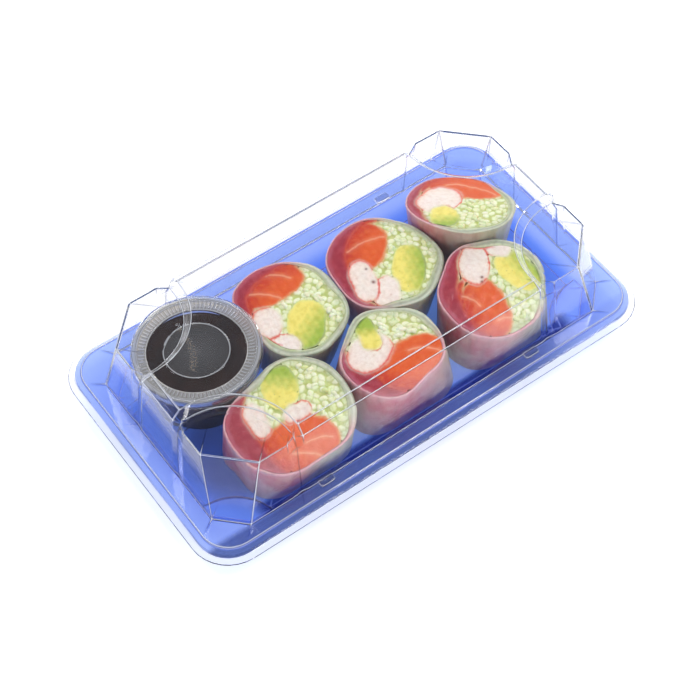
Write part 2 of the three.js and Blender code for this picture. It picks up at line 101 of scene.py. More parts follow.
# Each roll: the middle of its base and of its cut face, its radius there, how much narrower the base
# is, the paper's outline at the foot where that is pressed wide, how far the cut slopes, flats
# (direction, distance) where the roll is pressed, and what shows at the cut, each in front of those
# after it: ellipses (node, across, up, half length, half width, turn), and the tuna, a crescent along
# the rim (node, from, to, thickness). Then the looks: which way the avocado turns green, where the
# paper is a single film at the cut, where the fish shows through it at the side, which way the skin of
# a crab stick faces and how wide it is, lines of fat (x, y, bend, x, y) and dark spots (x, y, size).
ROLLS = {
    "a": {
        "base": (-23.5, 20), "face": (-22.7, 17.2, 28), "radius": 26.5, "taper": 0.875, "lean": 0,
        "flats": [(180, 18.6), (-4.4, 24), (-62.5, 25.8), (-125, 24.5)],
        "cuts": [
            ("crab_1", -11.5, -0.8, 8.3, 6.2, 72),
            ("crab_2", -13.2, -14.2, 8, 5.8, -30),
            ("avocado", 1.6, -11, 12.6, 8.3, 52),
            ("tuna", 52, 186, 5.8),
            ("salmon", 0.5, 14.5, 15.8, 9, 2),
        ],
        "green": -65, "film": (48, 196), "paper": (60, 200),
        "skin": {"crab_2": (80, 50), "crab_1": (-100, 30)},
        "fat": [(0.8, 21.5, 1.2, 10, 13.5), (-10.2, 16.8, 1.2, 0.2, 7.0)],
    },
    "b": {
        "base": (26, 15), "face": (25.9, 13.5, 28), "radius": 26.5, "taper": 0.87, "lean": 0,
        "flats": [(37, 24), (6, 24), (-54, 25.2), (-107, 25), (175.6, 24.2), (-122, 25.3)],
        "cuts": [
            ("crab_1", -13.8, -3.2, 11.3, 5.8, 70),
            ("crab_2", -9.2, -13.8, 8.6, 6.2, 58),
            ("avocado", 6.4, -8.8, 12.8, 7.3, 54),
            ("tuna", 69, 232, 8),
            ("salmon", -3, 12.4, 13.6, 10.6, 42),
        ],
        "green": -30, "film": (60, 232), "paper": (75, 225),
        "skin": {"crab_2": (125, 60), "crab_1": (-60, 40)}, "fat": [(-10, 13.8, 1.6, 7.5, 11.5)],
        "spots": [(-10.8, -6.0, 0.9), (-9.2, 1.5, 0.6)],
    },
    "c": {
        "base": (70, 17), "face": (72.3, 19.4, 29), "radius": 25, "taper": 0.85, "lean": 0.36,
        "flats": [(45, 22.2), (5, 21.8), (-154, 21.9), (180, 22.8), (-111.5, 23.6)],
        "cuts": [
            ("avocado", -12.6, -4, 8.2, 6.4, 62),
            ("crab_1", -6, 7.8, 11.2, 9.4, 18),
            ("tuna", 85, 192, 5),
            ("salmon", 10.5, 9, 17.5, 9.8, -45),
        ],
        "green": -115, "film": (5, 205), "paper": (85, 215), "skin": {"crab_1": (-40, 50)},
        "fat": [(4.2, 15.8, 1.4, 11.5, 9), (11.5, 9, 1, 17, -4.2)],
    },
    "d": {
        "base": (-53.5, -20), "face": (-52.5, -25.7, 27.2), "radius": 28, "taper": 0.86,
        "foot": {"radius": 31, "flats": [(-90, 23.5), (180, 25), (0, 26), (104, 18.5), (55, 24)]},
        "lean": -0.13, "flats": [(-90, 24.1), (104, 20.9), (55, 26), (-3, 27.4)],
        "cuts": [
            ("crab_2", 3.2, -2, 6.4, 4.4, -5),
            ("avocado", 3.6, 11.6, 10.2, 7.8, 65),
            ("crab_1", -12.8, 4.6, 8.6, 4.8, 84),
            ("tuna", 118, 236, 10),
            ("salmon", -6, -15, 18, 12.5, -8),
        ],
        "green": 55, "film": (120, 312), "paper": (118, 255), "skin": {"crab_2": (30, 50)},
        "fat": [(-1.8, -14.8, 0.8, 8.2, -18.8), (-9, -16, 1, 0.5, -24)],
    },
    "e": {
        "base": (1, -21.5), "face": (0.5, -27.3, 30), "radius": 25, "taper": 0.87,
        "foot": {
            "radius": 31,
            "flats": [(-90, 22), (180, 26.5), (0, 27.3), (-35, 29), (60, 21), (95, 22.5), (122, 21)],
        },
        "lean": 0,
        "flats": [(58, 21.5), (0, 21.5), (-78, 18.9), (-35, 21), (128, 21.6), (102, 24.2), (178, 24.4)],
        "cuts": [
            ("avocado", -4.6, 12.8, 9, 4.6, 74),
            ("crab_1", -9.4, 4.8, 11, 8.6, 20),
            ("tuna", 142, 250, 8),
            ("salmon", 1.5, -11, 18.5, 12.8, 0),
        ],
        "green": 60, "film": (142, 345), "paper": (140, 310), "skin": {"crab_1": (-60, 60)},
        "fat": [(4, -4, 1.5, 15, -12)],
    },
    "f": {
        "base": (56, -21), "face": (54.6, -25.4, 29), "radius": 25.5, "taper": 0.81,
        "foot": {
            "radius": 29.5,
            "flats": [(-90, 22.5), (180, 26), (0, 25), (-40, 27), (68.5, 19.6), (126, 19)],
        },
        "lean": -0.1, "flats": [(-90, 23.8), (126, 22.5), (68.5, 23.9), (180, 24), (-42, 22.4)],
        "cuts": [
            ("crab_1", 0.4, 13.4, 10.2, 6.8, 55),
            ("crab_2", 13.6, 15, 7, 4.8, -58),
            ("avocado", 13.8, 0, 11.8, 7.4, -82),
            ("tuna", 80, 232, 8),
            ("salmon", -9, -7.4, 15, 9.6, 72),
        ],
        "green": 0, "film": (78, 290), "paper": (80, 262),
        "skin": {"crab_1": (0, 70), "crab_2": (170, 40)},
        "fat": [(-13.5, 3.8, 0.8, -10.2, -4.5), (-8, -14, 1, -1, -19)],
        "spots": [(-0.9, 6.2, 0.7), (-2.3, 4.4, 0.7), (0.5, 3.2, 0.5)],
    },
}

# ---- camera ----

CAMERA = {"azimuth": -35.37, "elevation": 54.85, "roll": -0.76, "distance": 747, "target": (-7.8, -6.63, 13)}
LENS = 88.99  # on a sensor 36 mm wide


def add_camera():
    azimuth, elevation, roll = (math.radians(CAMERA[key]) for key in ("azimuth", "elevation", "roll"))
    tilt = Matrix.Rotation(math.pi / 2 - elevation, 4, "X")
    turn = Matrix.Rotation(azimuth, 4, "Z") @ tilt @ Matrix.Rotation(roll, 4, "Z")
    data = bpy.data.cameras.new("camera")
    data.sensor_width = 36
    data.lens = LENS
    data.clip_start = 0.01
    camera = bpy.data.objects.new("camera", data)
    away = Matrix.Translation((0, 0, CAMERA["distance"] * MM))
    camera.matrix_world = Matrix.Translation(Vector(CAMERA["target"]) * MM) @ turn @ away
    bpy.context.scene.collection.objects.link(camera)
    bpy.context.scene.camera = camera


add_camera()

# ---- materials ----


def rgb(text):
    """A colour written as #rrggbb, as linear values."""
    parts = [int(text[i : i + 2], 16) / 255 for i in (1, 3, 5)]
    return tuple(c / 12.92 if c <= 0.04045 else ((c + 0.055) / 1.055) ** 2.4 for c in parts)


def tone(text):
    return np.array(rgb(text))


class Tree:
    """The nodes of a material or of the world."""

    def __init__(self, owner):
        owner.use_nodes = True
        self.nodes = owner.node_tree.nodes
        self.links = owner.node_tree.links

    def node(self, kind, inputs, **settings):
        """A new node whose inputs are linked to sockets or set to values."""
        made = self.nodes.new(kind)
        for key, value in settings.items():
            setattr(made, key, value)
        for key, value in inputs.items():
            socket = made.inputs[key]
            if isinstance(value, bpy.types.NodeSocket):
                self.links.new(value, socket)
            else:
                socket.default_value = (*value, 1) if socket.type == "RGBA" else value
        return made

    def axes(self, place):
        return self.node("ShaderNodeSeparateXYZ", {0: place}).outputs

    def spread(self, value, low, high, to_low=0.0, to_high=1.0):
        """The value with the range from low to high moved to to_low to to_high."""
        inputs = {"Value": value, "From Min": low, "From Max": high, "To Min": to_low, "To Max": to_high}
        return self.node("ShaderNodeMapRange", inputs, interpolation_type="SMOOTHSTEP").outputs[0]

    def mix(self, factor, first, second, blend="MIX"):
        inputs = {0: factor, 6: first, 7: second}
        return self.node("ShaderNodeMix", inputs, data_type="RGBA", blend_type=blend).outputs[2]

    def reckon(self, operation, first, second):
        return self.node("ShaderNodeMath", {0: first, 1: second}, operation=operation).outputs[0]


class Look(Tree):
    """A material that is put together node by node."""

    def __init__(self, name, **values):
        self.material = bpy.data.materials.new(name)
        super().__init__(self.material)
        self.shader = self.nodes["Principled BSDF"]
        for key, value in values.items():
            self.shader.inputs[key.replace("_", " ")].default_value = value

    def link(self, source, socket="Base Color"):
        self.links.new(source, self.shader.inputs[socket])

    def put_out(self, shader, socket):
        self.links.new(shader.outputs[0], self.nodes["Material Output"].inputs[socket])

    def place(self):
        """Where a point is, in metres, the same from every side."""
        return self.node("ShaderNodeTexCoord", {}).outputs["Object"]

    def noise(self, size, detail=3, stretch=None):
        """A soft noise from 0 to 1 whose spots are about size millimetres across."""
        where = self.place()
        if stretch:
            where = self.node("ShaderNodeMapping", {"Vector": where, "Scale": stretch}).outputs[0]
        inputs = {"Vector": where, "Scale": 1 / (size * MM), "Detail": detail}
        return self.node("ShaderNodeTexNoise", inputs).outputs["Fac"]

    def attribute(self, name, output="Fac"):
        return self.node("ShaderNodeAttribute", {}, attribute_name=name).outputs[output]

    def bump(self, height, depth):
        """Relief whose height from 0 to 1 stands for depth millimetres."""
        made = self.node("ShaderNodeBump", {"Height": height, "Distance": depth * MM})
        self.link(made.outputs[0], "Normal")

    def fleck(self, colour, other, size, detail, low, high, most, blend="MIX", stretch=None):
        """The colour with up to most of another where a noise rises from low to high."""
        share = self.spread(self.noise(size, detail, stretch), low, high, 0.0, most)
        return self.mix(share, colour, rgb(other), blend)

    def blend(self, factor, first, second):
        """A shader that turns into another as the factor goes from 0 to 1."""
        return self.node("ShaderNodeMixShader", {0: factor, 1: first.outputs[0], 2: second.outputs[0]})


DEEP = 5.5  # bounces after which a ray leaves a clear sheet
CREASE_HIGHLIGHT = (0.9, 0.92, 0.96)  # painted white highlight along the middle of a crease


def clear_plastic(name, tint, wave, passes, painted_highlight):
    """A clear sheet with a tint and a wave of so many millimetres, and a painted white highlight along the
    middle of its creases. Light for what lies behind it passes straight through."""
    look = Look(name, IOR=1.31, Transmission_Weight=1.0)
    crease = look.attribute("crease")
    look.link(tint(look, crease))
    look.link(look.spread(look.noise(9), 0.35, 0.75, 0.01, 0.05), "Roughness")
    look.bump(look.noise(16, detail=2), wave)
    # The middle of each crease gets a painted white highlight.
    painted_white = look.node("ShaderNodeBsdfDiffuse", {"Color": CREASE_HIGHLIGHT})
    sheet = look.blend(look.spread(crease, 0.68, 0.95, 0.0, painted_highlight), look.shader, painted_white)
    path = look.node("ShaderNodeLightPath", {}).outputs
    soft = look.reckon("MAXIMUM", path["Is Shadow Ray"], path["Is Diffuse Ray"])
    deep = look.reckon("GREATER_THAN", path["Ray Depth"], DEEP)
    clear = look.node("ShaderNodeBsdfTransparent", {"Color": (passes, passes, passes)})
    look.put_out(look.blend(look.reckon("MAXIMUM", soft, deep), sheet, clear), "Surface")
    return look


POT_SHADOW = (-0.072, -0.012, 0.001)  # in front of the pot, in metres: the middle of a shadow painted on the tray


def blue_tint(tray, crease):
    """Painted shade in the tray's blue: deeper low in the well and in a shadow before the pot, deepest on
    its near wall, greyer on the near rim, darker beside creases.
    """
    x, y, z = tray.axes(tray.place())

    def both(first, second):
        return tray.reckon("MULTIPLY", first, second)

    # Painted shade low in the well.
    low = tray.spread(z, 0.002, 0.009, 1.0, 0.0)
    # Deeper and bluer towards the left end, low in the well.
    left = both(low, tray.spread(x, 0.0, -0.09, 0.0, 0.85))
    away = tray.node("ShaderNodeVectorMath", {0: tray.place(), 1: POT_SHADOW}, operation="DISTANCE")
    shade = both(low, tray.spread(away.outputs["Value"], 0.015, 0.032, 0.8, 0.0))
    # Painted shade on the near rim, fading towards the right end.
    rim = both(tray.spread(y, -0.050, -0.054, 0.0, 1.0), tray.spread(x, 0.04, 0.095, 1.0, 0.2))
    # A painted dark band along the near wall, away from the ends.
    wall = both(tray.spread(y, -0.0395, -0.0425), tray.spread(y, -0.0520, -0.0505))
    ends = both(tray.spread(x, -0.086, -0.078), tray.spread(x, 0.086, 0.078))
    tint = tray.mix(low, (1.0, 1.0, 1.0), (0.46, 0.68, 0.96))
    tint = tray.mix(left, tint, (0.2, 0.38, 0.8))
    tint = tray.mix(shade, tint, (0.1, 0.13, 0.26))
    tint = tray.mix(rim, tint, (0.26, 0.3, 0.42))
    tint = tray.mix(both(wall, ends), tint, (0.05, 0.07, 0.28))
    # Painted shade beside creases.
    return tray.mix(crease, tint, (0.4, 0.48, 0.8))


def blue_plastic():
    look = clear_plastic("blue_tray", blue_tint, 0.08, 0.97, 0.35)
    depth = look.node("ShaderNodeVolumeAbsorption", {"Color": (0.04, 0.3, 0.88), "Density": 1650})
    look.put_out(depth, "Volume")
    return look


def soy_sauce():
    look = Look("soy_sauce", Roughness=0.08, IOR=1.4)
    look.link(look.mix(look.noise(12), rgb("#120a06"), rgb("#3a2010")))
    return look


# Each food: its roughness, its IOR, the share of its light that comes from inside and from how far, and
# its relief (size, detail, depth, stretch). Then the flecks in its paint: the colour, their size and
# detail, where the noise starts and is full, the most of them and how they are mixed in. Then marks.
FOODS = {
    "rice_paper": {
        "look": (0.3, 1.4, 0.3, 2),
        "relief": (1.6, 4, 0.16, (1, 1, 0.35)),
        "flecks": [
            ("#d6d2c6", 5, 4, 0.35, 0.75, 0.25),
            ("#8c6a6c", 2.4, 4, 0.45, 0.8, 0.3, "MULTIPLY", (1, 1, 0.25)),
        ],
    },
    "tuna": {
        "look": (0.25, 1.3, 0.2, 1),
        "relief": (1.0, 4, 0.14),
        "flecks": [("#bc4650", 2.6, 5, 0.4, 0.75, 0.5)],
    },
    "salmon": {
        "look": (0.26, 1.3, 0.2, 1),
        "relief": (0.9, 4, 0.14),
        "flecks": [("#ea7c36", 2.2, 5, 0.42, 0.75, 0.4), ("#c83c1c", 0.8, 3, 0.4, 0.75, 0.25)],
        "marks": {"fat": "#f4b890"},
    },
    "crab": {
        "look": (0.4, 1.4, 0.3, 1),
        "relief": (0.8, 5, 0.22),
        "flecks": [("#dcc4b6", 1.6, 5, 0.35, 0.75, 0.35, "MULTIPLY"), ("#b06a58", 1.6, 1, 0.76, 0.82, 0.3)],
        "marks": {"spot": "#6a2c18", "skin": "#dc3416"},
    },
    "avocado": {
        "look": (0.35, 1.4, 0.2, 1),
        "relief": (1.2, 4, 0.15),
        "flecks": [("#e2dc86", 2.4, 5, 0.4, 0.72, 0.5, "MULTIPLY"), ("#6c7428", 1.3, 2, 0.7, 0.76, 0.7)],
    },
    "cucumber": {
        "look": (0.2, 1.4, 0.3, 1),
        "relief": (0.6, 4, 0.15),
        "flecks": [("#dfe4a2", 1.2, 4, 0.4, 0.8, 0.5, "MULTIPLY")],
    },
}


def food(name):
    """A moist food: its painted colour with flecks and marks, and a fine relief."""
    data = FOODS[name]
    roughness, index, inner, reach = data["look"]
    look = Look(name, Roughness=roughness, IOR=index, Subsurface_Weight=inner, Subsurface_Scale=reach * MM)
    size, detail, depth, *stretch = data["relief"]
    look.bump(look.noise(size, detail, *stretch), depth)
    colour = look.attribute("paint", "Color")
    for fleck in data["flecks"]:
        colour = look.fleck(colour, *fleck)
    for mark, other in data.get("marks", {}).items():
        colour = look.mix(look.attribute(mark), colour, rgb(other))
    look.link(colour)
    return look


def clear(name, tint, beside, wave, passes, painted_highlight):
    """A clear sheet with one tint, and a darker one beside its creases as painted shade."""

    def creased(look, crease):
        return look.mix(look.spread(crease, 0.0, 0.5), tint, beside)

    return clear_plastic(name, creased, wave, passes, painted_highlight)


# Each clear sheet: its tint, the darker tint painted beside its creases as shade, its wave, how much light
# passes for what lies behind it, and how much painted white highlight its creases get.
LOOKS = {
    "lid": clear("clear_lid", (0.985, 0.985, 1.0), (0.55, 0.55, 0.6), 0.05, 0.97, 0.85),
    "tray": blue_plastic(),
    "pot": clear("clear_pot", (0.78, 0.76, 0.74), (0.6, 0.55, 0.48), 0.04, 0.95, 0.0),
    "pot_lid": clear("clear_pot_lid", (0.92, 0.95, 0.98), (0.34, 0.28, 0.2), 0.04, 0.95, 0.4),
    "sauce": soy_sauce(),
    **{name: food(name) for name in FOODS},
}

# ---- making a piece ----


SHARP = 55  # degrees from which an edge of a crisp piece stays sharp


def add_piece(name, points, faces, slot, nodes=(), values=None, paint=None, weighted=False, crisp=False):
    """A smooth mesh of points in millimetres, with one value or one colour a point where given."""
    mesh = bpy.data.meshes.new(name)
    mesh.from_pydata((np.asarray(points, float) * MM).tolist(), [], faces)
    for key, per_point in (values or {}).items():
        data = mesh.attributes.new(key, "FLOAT", "POINT").data
        data.foreach_set("value", np.asarray(per_point, np.float32))
    if paint is not None:
        rgba = np.ones((len(points), 4), np.float32)
        rgba[:, :3] = paint
        mesh.attributes.new("paint", "FLOAT_COLOR", "POINT").data.foreach_set("color", rgba.ravel())
    mesh.validate()
    mesh.shade_smooth()
    if crisp:
        mesh.set_sharp_from_angle(angle=math.radians(SHARP))
    piece = bpy.data.objects.new(name, mesh)
    mesh.materials.append(LOOKS[slot].material)
    bpy.context.scene.collection.objects.link(piece)
    if weighted:
        weld = piece.modifiers.new("weld", "WELD")
        weld.merge_threshold = 0.01 * MM
        flat = piece.modifiers.new("flat", "WEIGHTED_NORMAL")
        flat.weight = 80
    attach(piece, "root")
    if nodes:
        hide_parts(*nodes)
    return piece


# ---- tray and lid: sheets lofted through rings of matched points ----

TURN_POINTS = 9  # round a plain corner
EDGE_POINTS = 3  # between a plain corner and the channel
QUARTER = TURN_POINTS + 2 * EDGE_POINTS + 8


def lerp(a, b, t):
    return a + (b - a) * t


def grow(half, by):
    return (half[0] + by, half[1] + by)


def straight(a, b, count):
    return [(lerp(a[0], b[0], t), lerp(a[1], b[1], t)) for t in np.linspace(0, 1, count)]


def arc(centre, radius, start, end, count):
    angles = np.radians(np.linspace(start, end, count))
    return [(centre[0] + radius * math.cos(a), centre[1] + radius * math.sin(a)) for a in angles]


def crossings(half, centre, radius):
    """Where a circle crosses the outline, on the side towards the middle."""
    y = centre[1] - math.sqrt(radius**2 - (half[0] - centre[0]) ** 2)
    x = centre[0] - math.sqrt(radius**2 - (half[1] - centre[1]) ** 2)
    return [(half[0], y), (x, half[1])]


def side_points(half, depth=0.0):
    """Where a corner's bar, notch and lobe meet the outline: two points each."""
    notch = crossings(grow(half, -depth), SCOOP_CENTRE, SCOOP_FLOOR)
    return crossings(half, SCOOP_CENTRE, SCOOP_OUTER), notch, crossings(half, SCOOP_CENTRE, SCOOP_INNER)


def pad_side_points(half, radius):
    bar = crossings(half, SCOOP_CENTRE, SCOOP_OUTER)
    lobe = crossings(half, PAD_CENTRE, radius)
    return bar, [tuple(lerp(p, q, 0.5) for p, q in zip(*ends)) for ends in zip(bar, lobe)], lobe


def corner_quarter(half, size, rounded, sides=None):
    """A quarter ring with a plain corner: cut off by a chamfer, or rounded."""
    first, last = zip(*(sides or side_points(half)))
    start, end = (half[0], half[1] - size), (half[0] - size, half[1])
    centre = (half[0] - size, half[1] - size)
    turn = arc(centre, size, 0, 90, TURN_POINTS) if rounded else straight(start, end, TURN_POINTS)
    before = straight(first[-1], start, EDGE_POINTS + 2)[1:-1]
    after = straight(end, last[-1], EDGE_POINTS + 2)[1:-1]
    return [(half[0], 0), *first, *before, *turn, *after, *last[::-1], (0, half[1])]


def angle_about(centre, point):
    angle = math.degrees(math.atan2(point[1] - centre[1], point[0] - centre[0]))
    return angle - 360 if angle > 90 else angle


def scoop_quarter(half, centre, radius, ends, flanks=()):
    """A quarter ring whose corner is an arc that bulges towards the middle, with points beside it."""
    count = QUARTER - 2 - 2 * len(flanks)
    bend = arc(centre, radius, angle_about(centre, ends[0]), angle_about(centre, ends[1]), count)
    before, after = zip(*flanks) if flanks else ((), ())
    return [(half[0], 0), *before, *bend, *after[::-1], (0, half[1])]


def pad_quarter(half, radius):
    bar, notch, lobe = pad_side_points(half, radius)
    return scoop_quarter(half, PAD_CENTRE, radius, lobe, [bar, notch])


def ring(quarter, z, notch_z=None, bar_z=None):
    """All four quarters of a ring; the notch points and the bar points may lie at other heights."""
    heights = [z] * QUARTER
    if notch_z is not None:
        heights[2] = heights[-3] = notch_z
    if bar_z is not None:
        heights[0] = heights[1] = heights[-1] = heights[-2] = bar_z
    first = np.array([(x, y, h) for (x, y), h in zip(quarter, heights)], float)
    back = first[-2::-1]
    return np.vstack([first, back * (-1, 1, 1), first[1:] * (-1, -1, 1), back[:-1] * (1, -1, 1)])


def rounded(points, radius, closed, steps=4):
    """A chain of points along the first axis, each corner a curve that starts radius before it."""
    before = np.roll(points, 1, axis=0)
    after = np.roll(points, -1, axis=0)
    if not closed:
        before[0], after[-1] = points[0], points[-1]

    def towards(other):
        gap = other - points
        length = np.linalg.norm(gap, axis=-1, keepdims=True)
        return points + gap * np.minimum(radius / np.maximum(length, 1e-9), 0.5)

    a, b = towards(before), towards(after)
    curve = [(1 - t) ** 2 * a + 2 * t * (1 - t) * points + t * t * b for t in np.linspace(0, 1, steps)]
    bent = np.stack(curve, axis=1).reshape(-1, *points.shape[1:])
    return bent if closed else np.concatenate([points[:1], bent[steps:-steps], points[-1:]])


def sheet_grid(rings, radius):
    """The rings with their corners rounded, both up the profile and round the outline."""
    grid = rounded(np.stack(rings), radius, closed=False)
    return np.swapaxes(rounded(np.swapaxes(grid, 0, 1), radius, closed=True), 0, 1)


# The crease values set where the clear sheets get painted shade and a painted white highlight.
BEND = (12, 26)  # a corner between these angles, in degrees, goes from no crease to a full one


def creases(rings):
    """How sharply a sheet is creased at each point of its rounded grid, from 0 to 1."""
    grid = np.stack(rings)
    inner = np.array([0, 0.55, 1, 0])

    def bent(before, after):
        lengths = np.linalg.norm(before, axis=-1) * np.linalg.norm(after, axis=-1)
        cosine = (before * after).sum(axis=-1) / np.maximum(lengths, 1e-9)
        angle = np.degrees(np.arccos(np.clip(cosine, -1, 1)))
        return np.where(lengths > 1e-6, np.clip((angle - BEND[0]) / (BEND[1] - BEND[0]), 0, 1), 0)

    up = np.zeros(grid.shape[:2])
    up[1:-1] = bent(grid[1:-1] - grid[:-2], grid[2:] - grid[1:-1])
    along = bent(grid - np.roll(grid, 1, axis=1), np.roll(grid, -1, axis=1) - grid)
    along[[0, -1]] = 0

    def rows(values, pattern):
        middle = (values[1:-1, None, :] * np.reshape(pattern, (1, -1, 1))).reshape(-1, values.shape[1])
        return np.concatenate([values[:1], middle, values[-1:]])

    across = np.repeat(rows(up, inner), len(inner), axis=1)
    round_about = (rows(along, np.ones(len(inner)))[:, :, None] * inner).reshape(len(across), -1)
    return np.maximum(across, round_about)


def wall_faces(rows, count, closed=False):
    """Squares between rings of count points each; the last ring may be joined to the first."""
    faces = []
    for r in range(rows if closed else rows - 1):
        s = (r + 1) % rows
        for i in range(count):
            j = (i + 1) % count
            faces.append((r * count + i, r * count + j, s * count + j, s * count + i))
    return faces


def loft(grids):
    """Points and faces of a closed sheet through grids of rings, its two ends closed by flat faces."""
    grid = np.concatenate(grids)
    rows, count = grid.shape[:2]
    ends = [tuple(range(count))[::-1], tuple(range((rows - 1) * count, rows * count))]
    return grid.reshape(-1, 3), wall_faces(rows, count) + ends


def tray_rings(drop, inset):
    wall = tuple(lerp(FLOOR[i], WELL_TOP[i], PAD_T) + inset for i in range(2))
    radius = PAD_TOP_RADIUS - inset
    well_top = grow(WELL_TOP, inset)
    foot = ring(pad_quarter(grow(FLOOR, inset), PAD_FOOT_RADIUS - inset), SHEET - drop)
    return [
        foot * (0.94, 0.9, 1),
        foot,
        ring(pad_quarter(wall, radius), PAD_Z - drop),
        ring(corner_quarter(wall, WELL_CHAMFER, False, pad_side_points(wall, radius)), PAD_Z - drop),
        ring(corner_quarter(well_top, WELL_CHAMFER, False), WELL_TOP_Z - drop),
        ring(corner_quarter(RIDGE, RIDGE_CORNER, True), RIDGE_Z - drop),
        ring(corner_quarter(TRAY_EDGE, RIDGE_CORNER + 2, True), TRAY_EDGE_Z - drop),
    ]


def lid_rings(drop, inset):
    def plain(half, z, corner):
        return ring(corner_quarter(half, corner, True), z)

    def fluted(half, chamfer, depth, z, notch_z=None):
        return ring(corner_quarter(half, chamfer, False, side_points(half, depth)), z, notch_z)

    shoulder = grow(SHOULDER, -inset)
    bevel = grow(BEVEL, -inset)
    flute = tuple(lerp(DOME_FOOT[i], SHOULDER[i], FLUTE_T) - inset for i in range(2))
    flute_chamfer = lerp(WELL_CHAMFER, SHOULDER_CHAMFER, FLUTE_T)
    bar = side_points(bevel)[0]
    _, notch, lobe = side_points(shoulder, NOTCH_DEPTH)
    lobe_ring = scoop_quarter(bevel, SCOOP_CENTRE, SCOOP_INNER, lobe, [bar, notch])
    channel = scoop_quarter(bevel, SCOOP_CENTRE, SCOOP_FLOOR, notch, [bar])
    plateau = grow(PLATEAU, -inset)
    top = ring(scoop_quarter(plateau, SCOOP_CENTRE, SCOOP_OUTER, side_points(plateau)[0]), PLATEAU_Z - drop)
    return [
        plain(grow(SKIRT_FOOT, -inset), SKIRT_FOOT_Z, RIDGE_CORNER + 5),
        plain(grow(SKIRT_TOP, -inset), SKIRT_TOP_Z - drop / 2, RIDGE_CORNER + 3),
        plain(RIDGE, RIDGE_Z + LID_LIFT - drop, RIDGE_CORNER),
        fluted(grow(DOME_FOOT, -inset), WELL_CHAMFER, FLUTE_DEPTH, WELL_TOP_Z + LID_LIFT - drop),
        fluted(flute, flute_chamfer, FLUTE_DEPTH, FLUTE_Z),
        fluted(shoulder, SHOULDER_CHAMFER, NOTCH_DEPTH, SHOULDER_Z - drop, CHANNEL_Z - drop),
        ring(lobe_ring, SHOULDER_Z - drop, CHANNEL_Z - drop, BEVEL_Z - drop),
        ring(channel, CHANNEL_Z - drop, None, BEVEL_Z - drop),
        top,
        top * (0.96, 0.94, 1),
    ]


def sheet_side(rings, radius):
    """One side of a sheet: its rounded grid, and how sharply it is creased at each point."""
    return sheet_grid(rings, radius), creases(rings)


def flipped(sheet):
    return tuple(part[::-1] for part in sheet)


def add_sheet(name, first, last):
    """A sheet from the grids of its two sides, whose inner ends are joined."""
    grids, bent = zip(first, last)
    points, faces = loft(grids)
    crease = np.concatenate(bent).ravel()
    add_piece(f"{name}_shell", points, faces, name, [name], values={"crease": crease}, weighted=True)


def make_tray():
    under = sheet_side(tray_rings(SHEET, 0.35), 0.7)
    add_sheet("tray", under, flipped(sheet_side(tray_rings(0, 0), 0.8)))


def make_lid():
    under = sheet_side(lid_rings(SHEET, SHEET), 0.4)
    add_sheet("lid", flipped(under), sheet_side(lid_rings(0, 0), 0.6))


BUMP_LEVELS = [(0, 0), (0, 0.4), (-0.12, 0.15), (-0.4, 0), (-0.9, 0)]  # narrower by, and below the top
# Crease value of each level of a block: how much painted shade and painted white highlight it gets.
BUMP_CREASE = [0.5, 0.4, 1.0, 0.4, 0.0]
BUMP_CORNER = 0.9


def make_lid_bumps():
    """Four blocks on the lid's foot, with rounded upright edges and a rounded top."""
    half = (SNAP["length"] / 2, SNAP["width"] / 2)
    foot = WELL_TOP_Z + LID_LIFT + 0.35
    outline = []
    for turn, (sx, sy) in enumerate(((1, 1), (-1, 1), (-1, -1), (1, -1))):
        centre = (sx * (half[0] - BUMP_CORNER), sy * (half[1] - BUMP_CORNER))
        outline += arc(centre, BUMP_CORNER, 90 * turn, 90 * turn + 90, 5)
    points, faces = [], []
    for x in (-SNAP["x"], SNAP["x"]):
        for y in (-SNAP["y"], SNAP["y"]):
            rows = []
            for i, (narrower, below) in enumerate(BUMP_LEVELS):
                z = foot + (SNAP["height"] - below if i else 0)
                wide, deep = (half[0] + narrower) / half[0], (half[1] + narrower) / half[1]
                rows.append([(x + u * wide, y + v * deep, z) for u, v in outline])
            block, block_faces = loft([np.array(rows)])
            start = len(block) * len(points)
            points.append(block)
            faces += [tuple(start + i for i in face) for face in block_faces]
    crease = np.tile(np.repeat(BUMP_CREASE, len(outline)), 4)
    add_piece("lid_bumps", np.concatenate(points), faces, "lid", values={"crease": crease}, weighted=True)


make_tray()
make_lid()
make_lid_bumps()

# ---- sauce pot ----


def lathe(profile, sides, wave=None):
    """Points and faces of a closed turned body; the profile runs from axis to axis."""
    angles = np.linspace(0, 2 * math.pi, sides, endpoint=False)
    points = []
    for radius, z in profile[1:-1]:
        for angle in angles:
            x, y = POT["x"] + radius * math.cos(angle), POT["y"] + radius * math.sin(angle)
            points.append((x, y, z + wave(radius, angle) if wave else z))
    faces = wall_faces(len(profile) - 2, sides)
    first, last = len(points), len(points) + 1
    top = first - sides
    points += [(POT["x"], POT["y"], profile[0][1]), (POT["x"], POT["y"], profile[-1][1])]
    for i in range(sides):
        j = (i + 1) % sides
        faces += [(first, j, i), (last, top + i, top + j)]
    return points, faces


def pot_radius(z):
    return lerp(POT["foot"], POT["mouth"], (z - POT["z"]) / (POT["height"] - 2))


def soft_profile(profile, radius=0.4):
    """The profile with its corners rounded."""
    points = np.array([(r, z, 0.0) for r, z in profile], float)
    bent = rounded(points, radius, closed=False, steps=3)
    return [(max(r, 0.0), z) for r, z, _ in bent]


POT_SIDES = 96
WETTING = 0.3  # how far the sauce reaches into the wall, so that no air shows


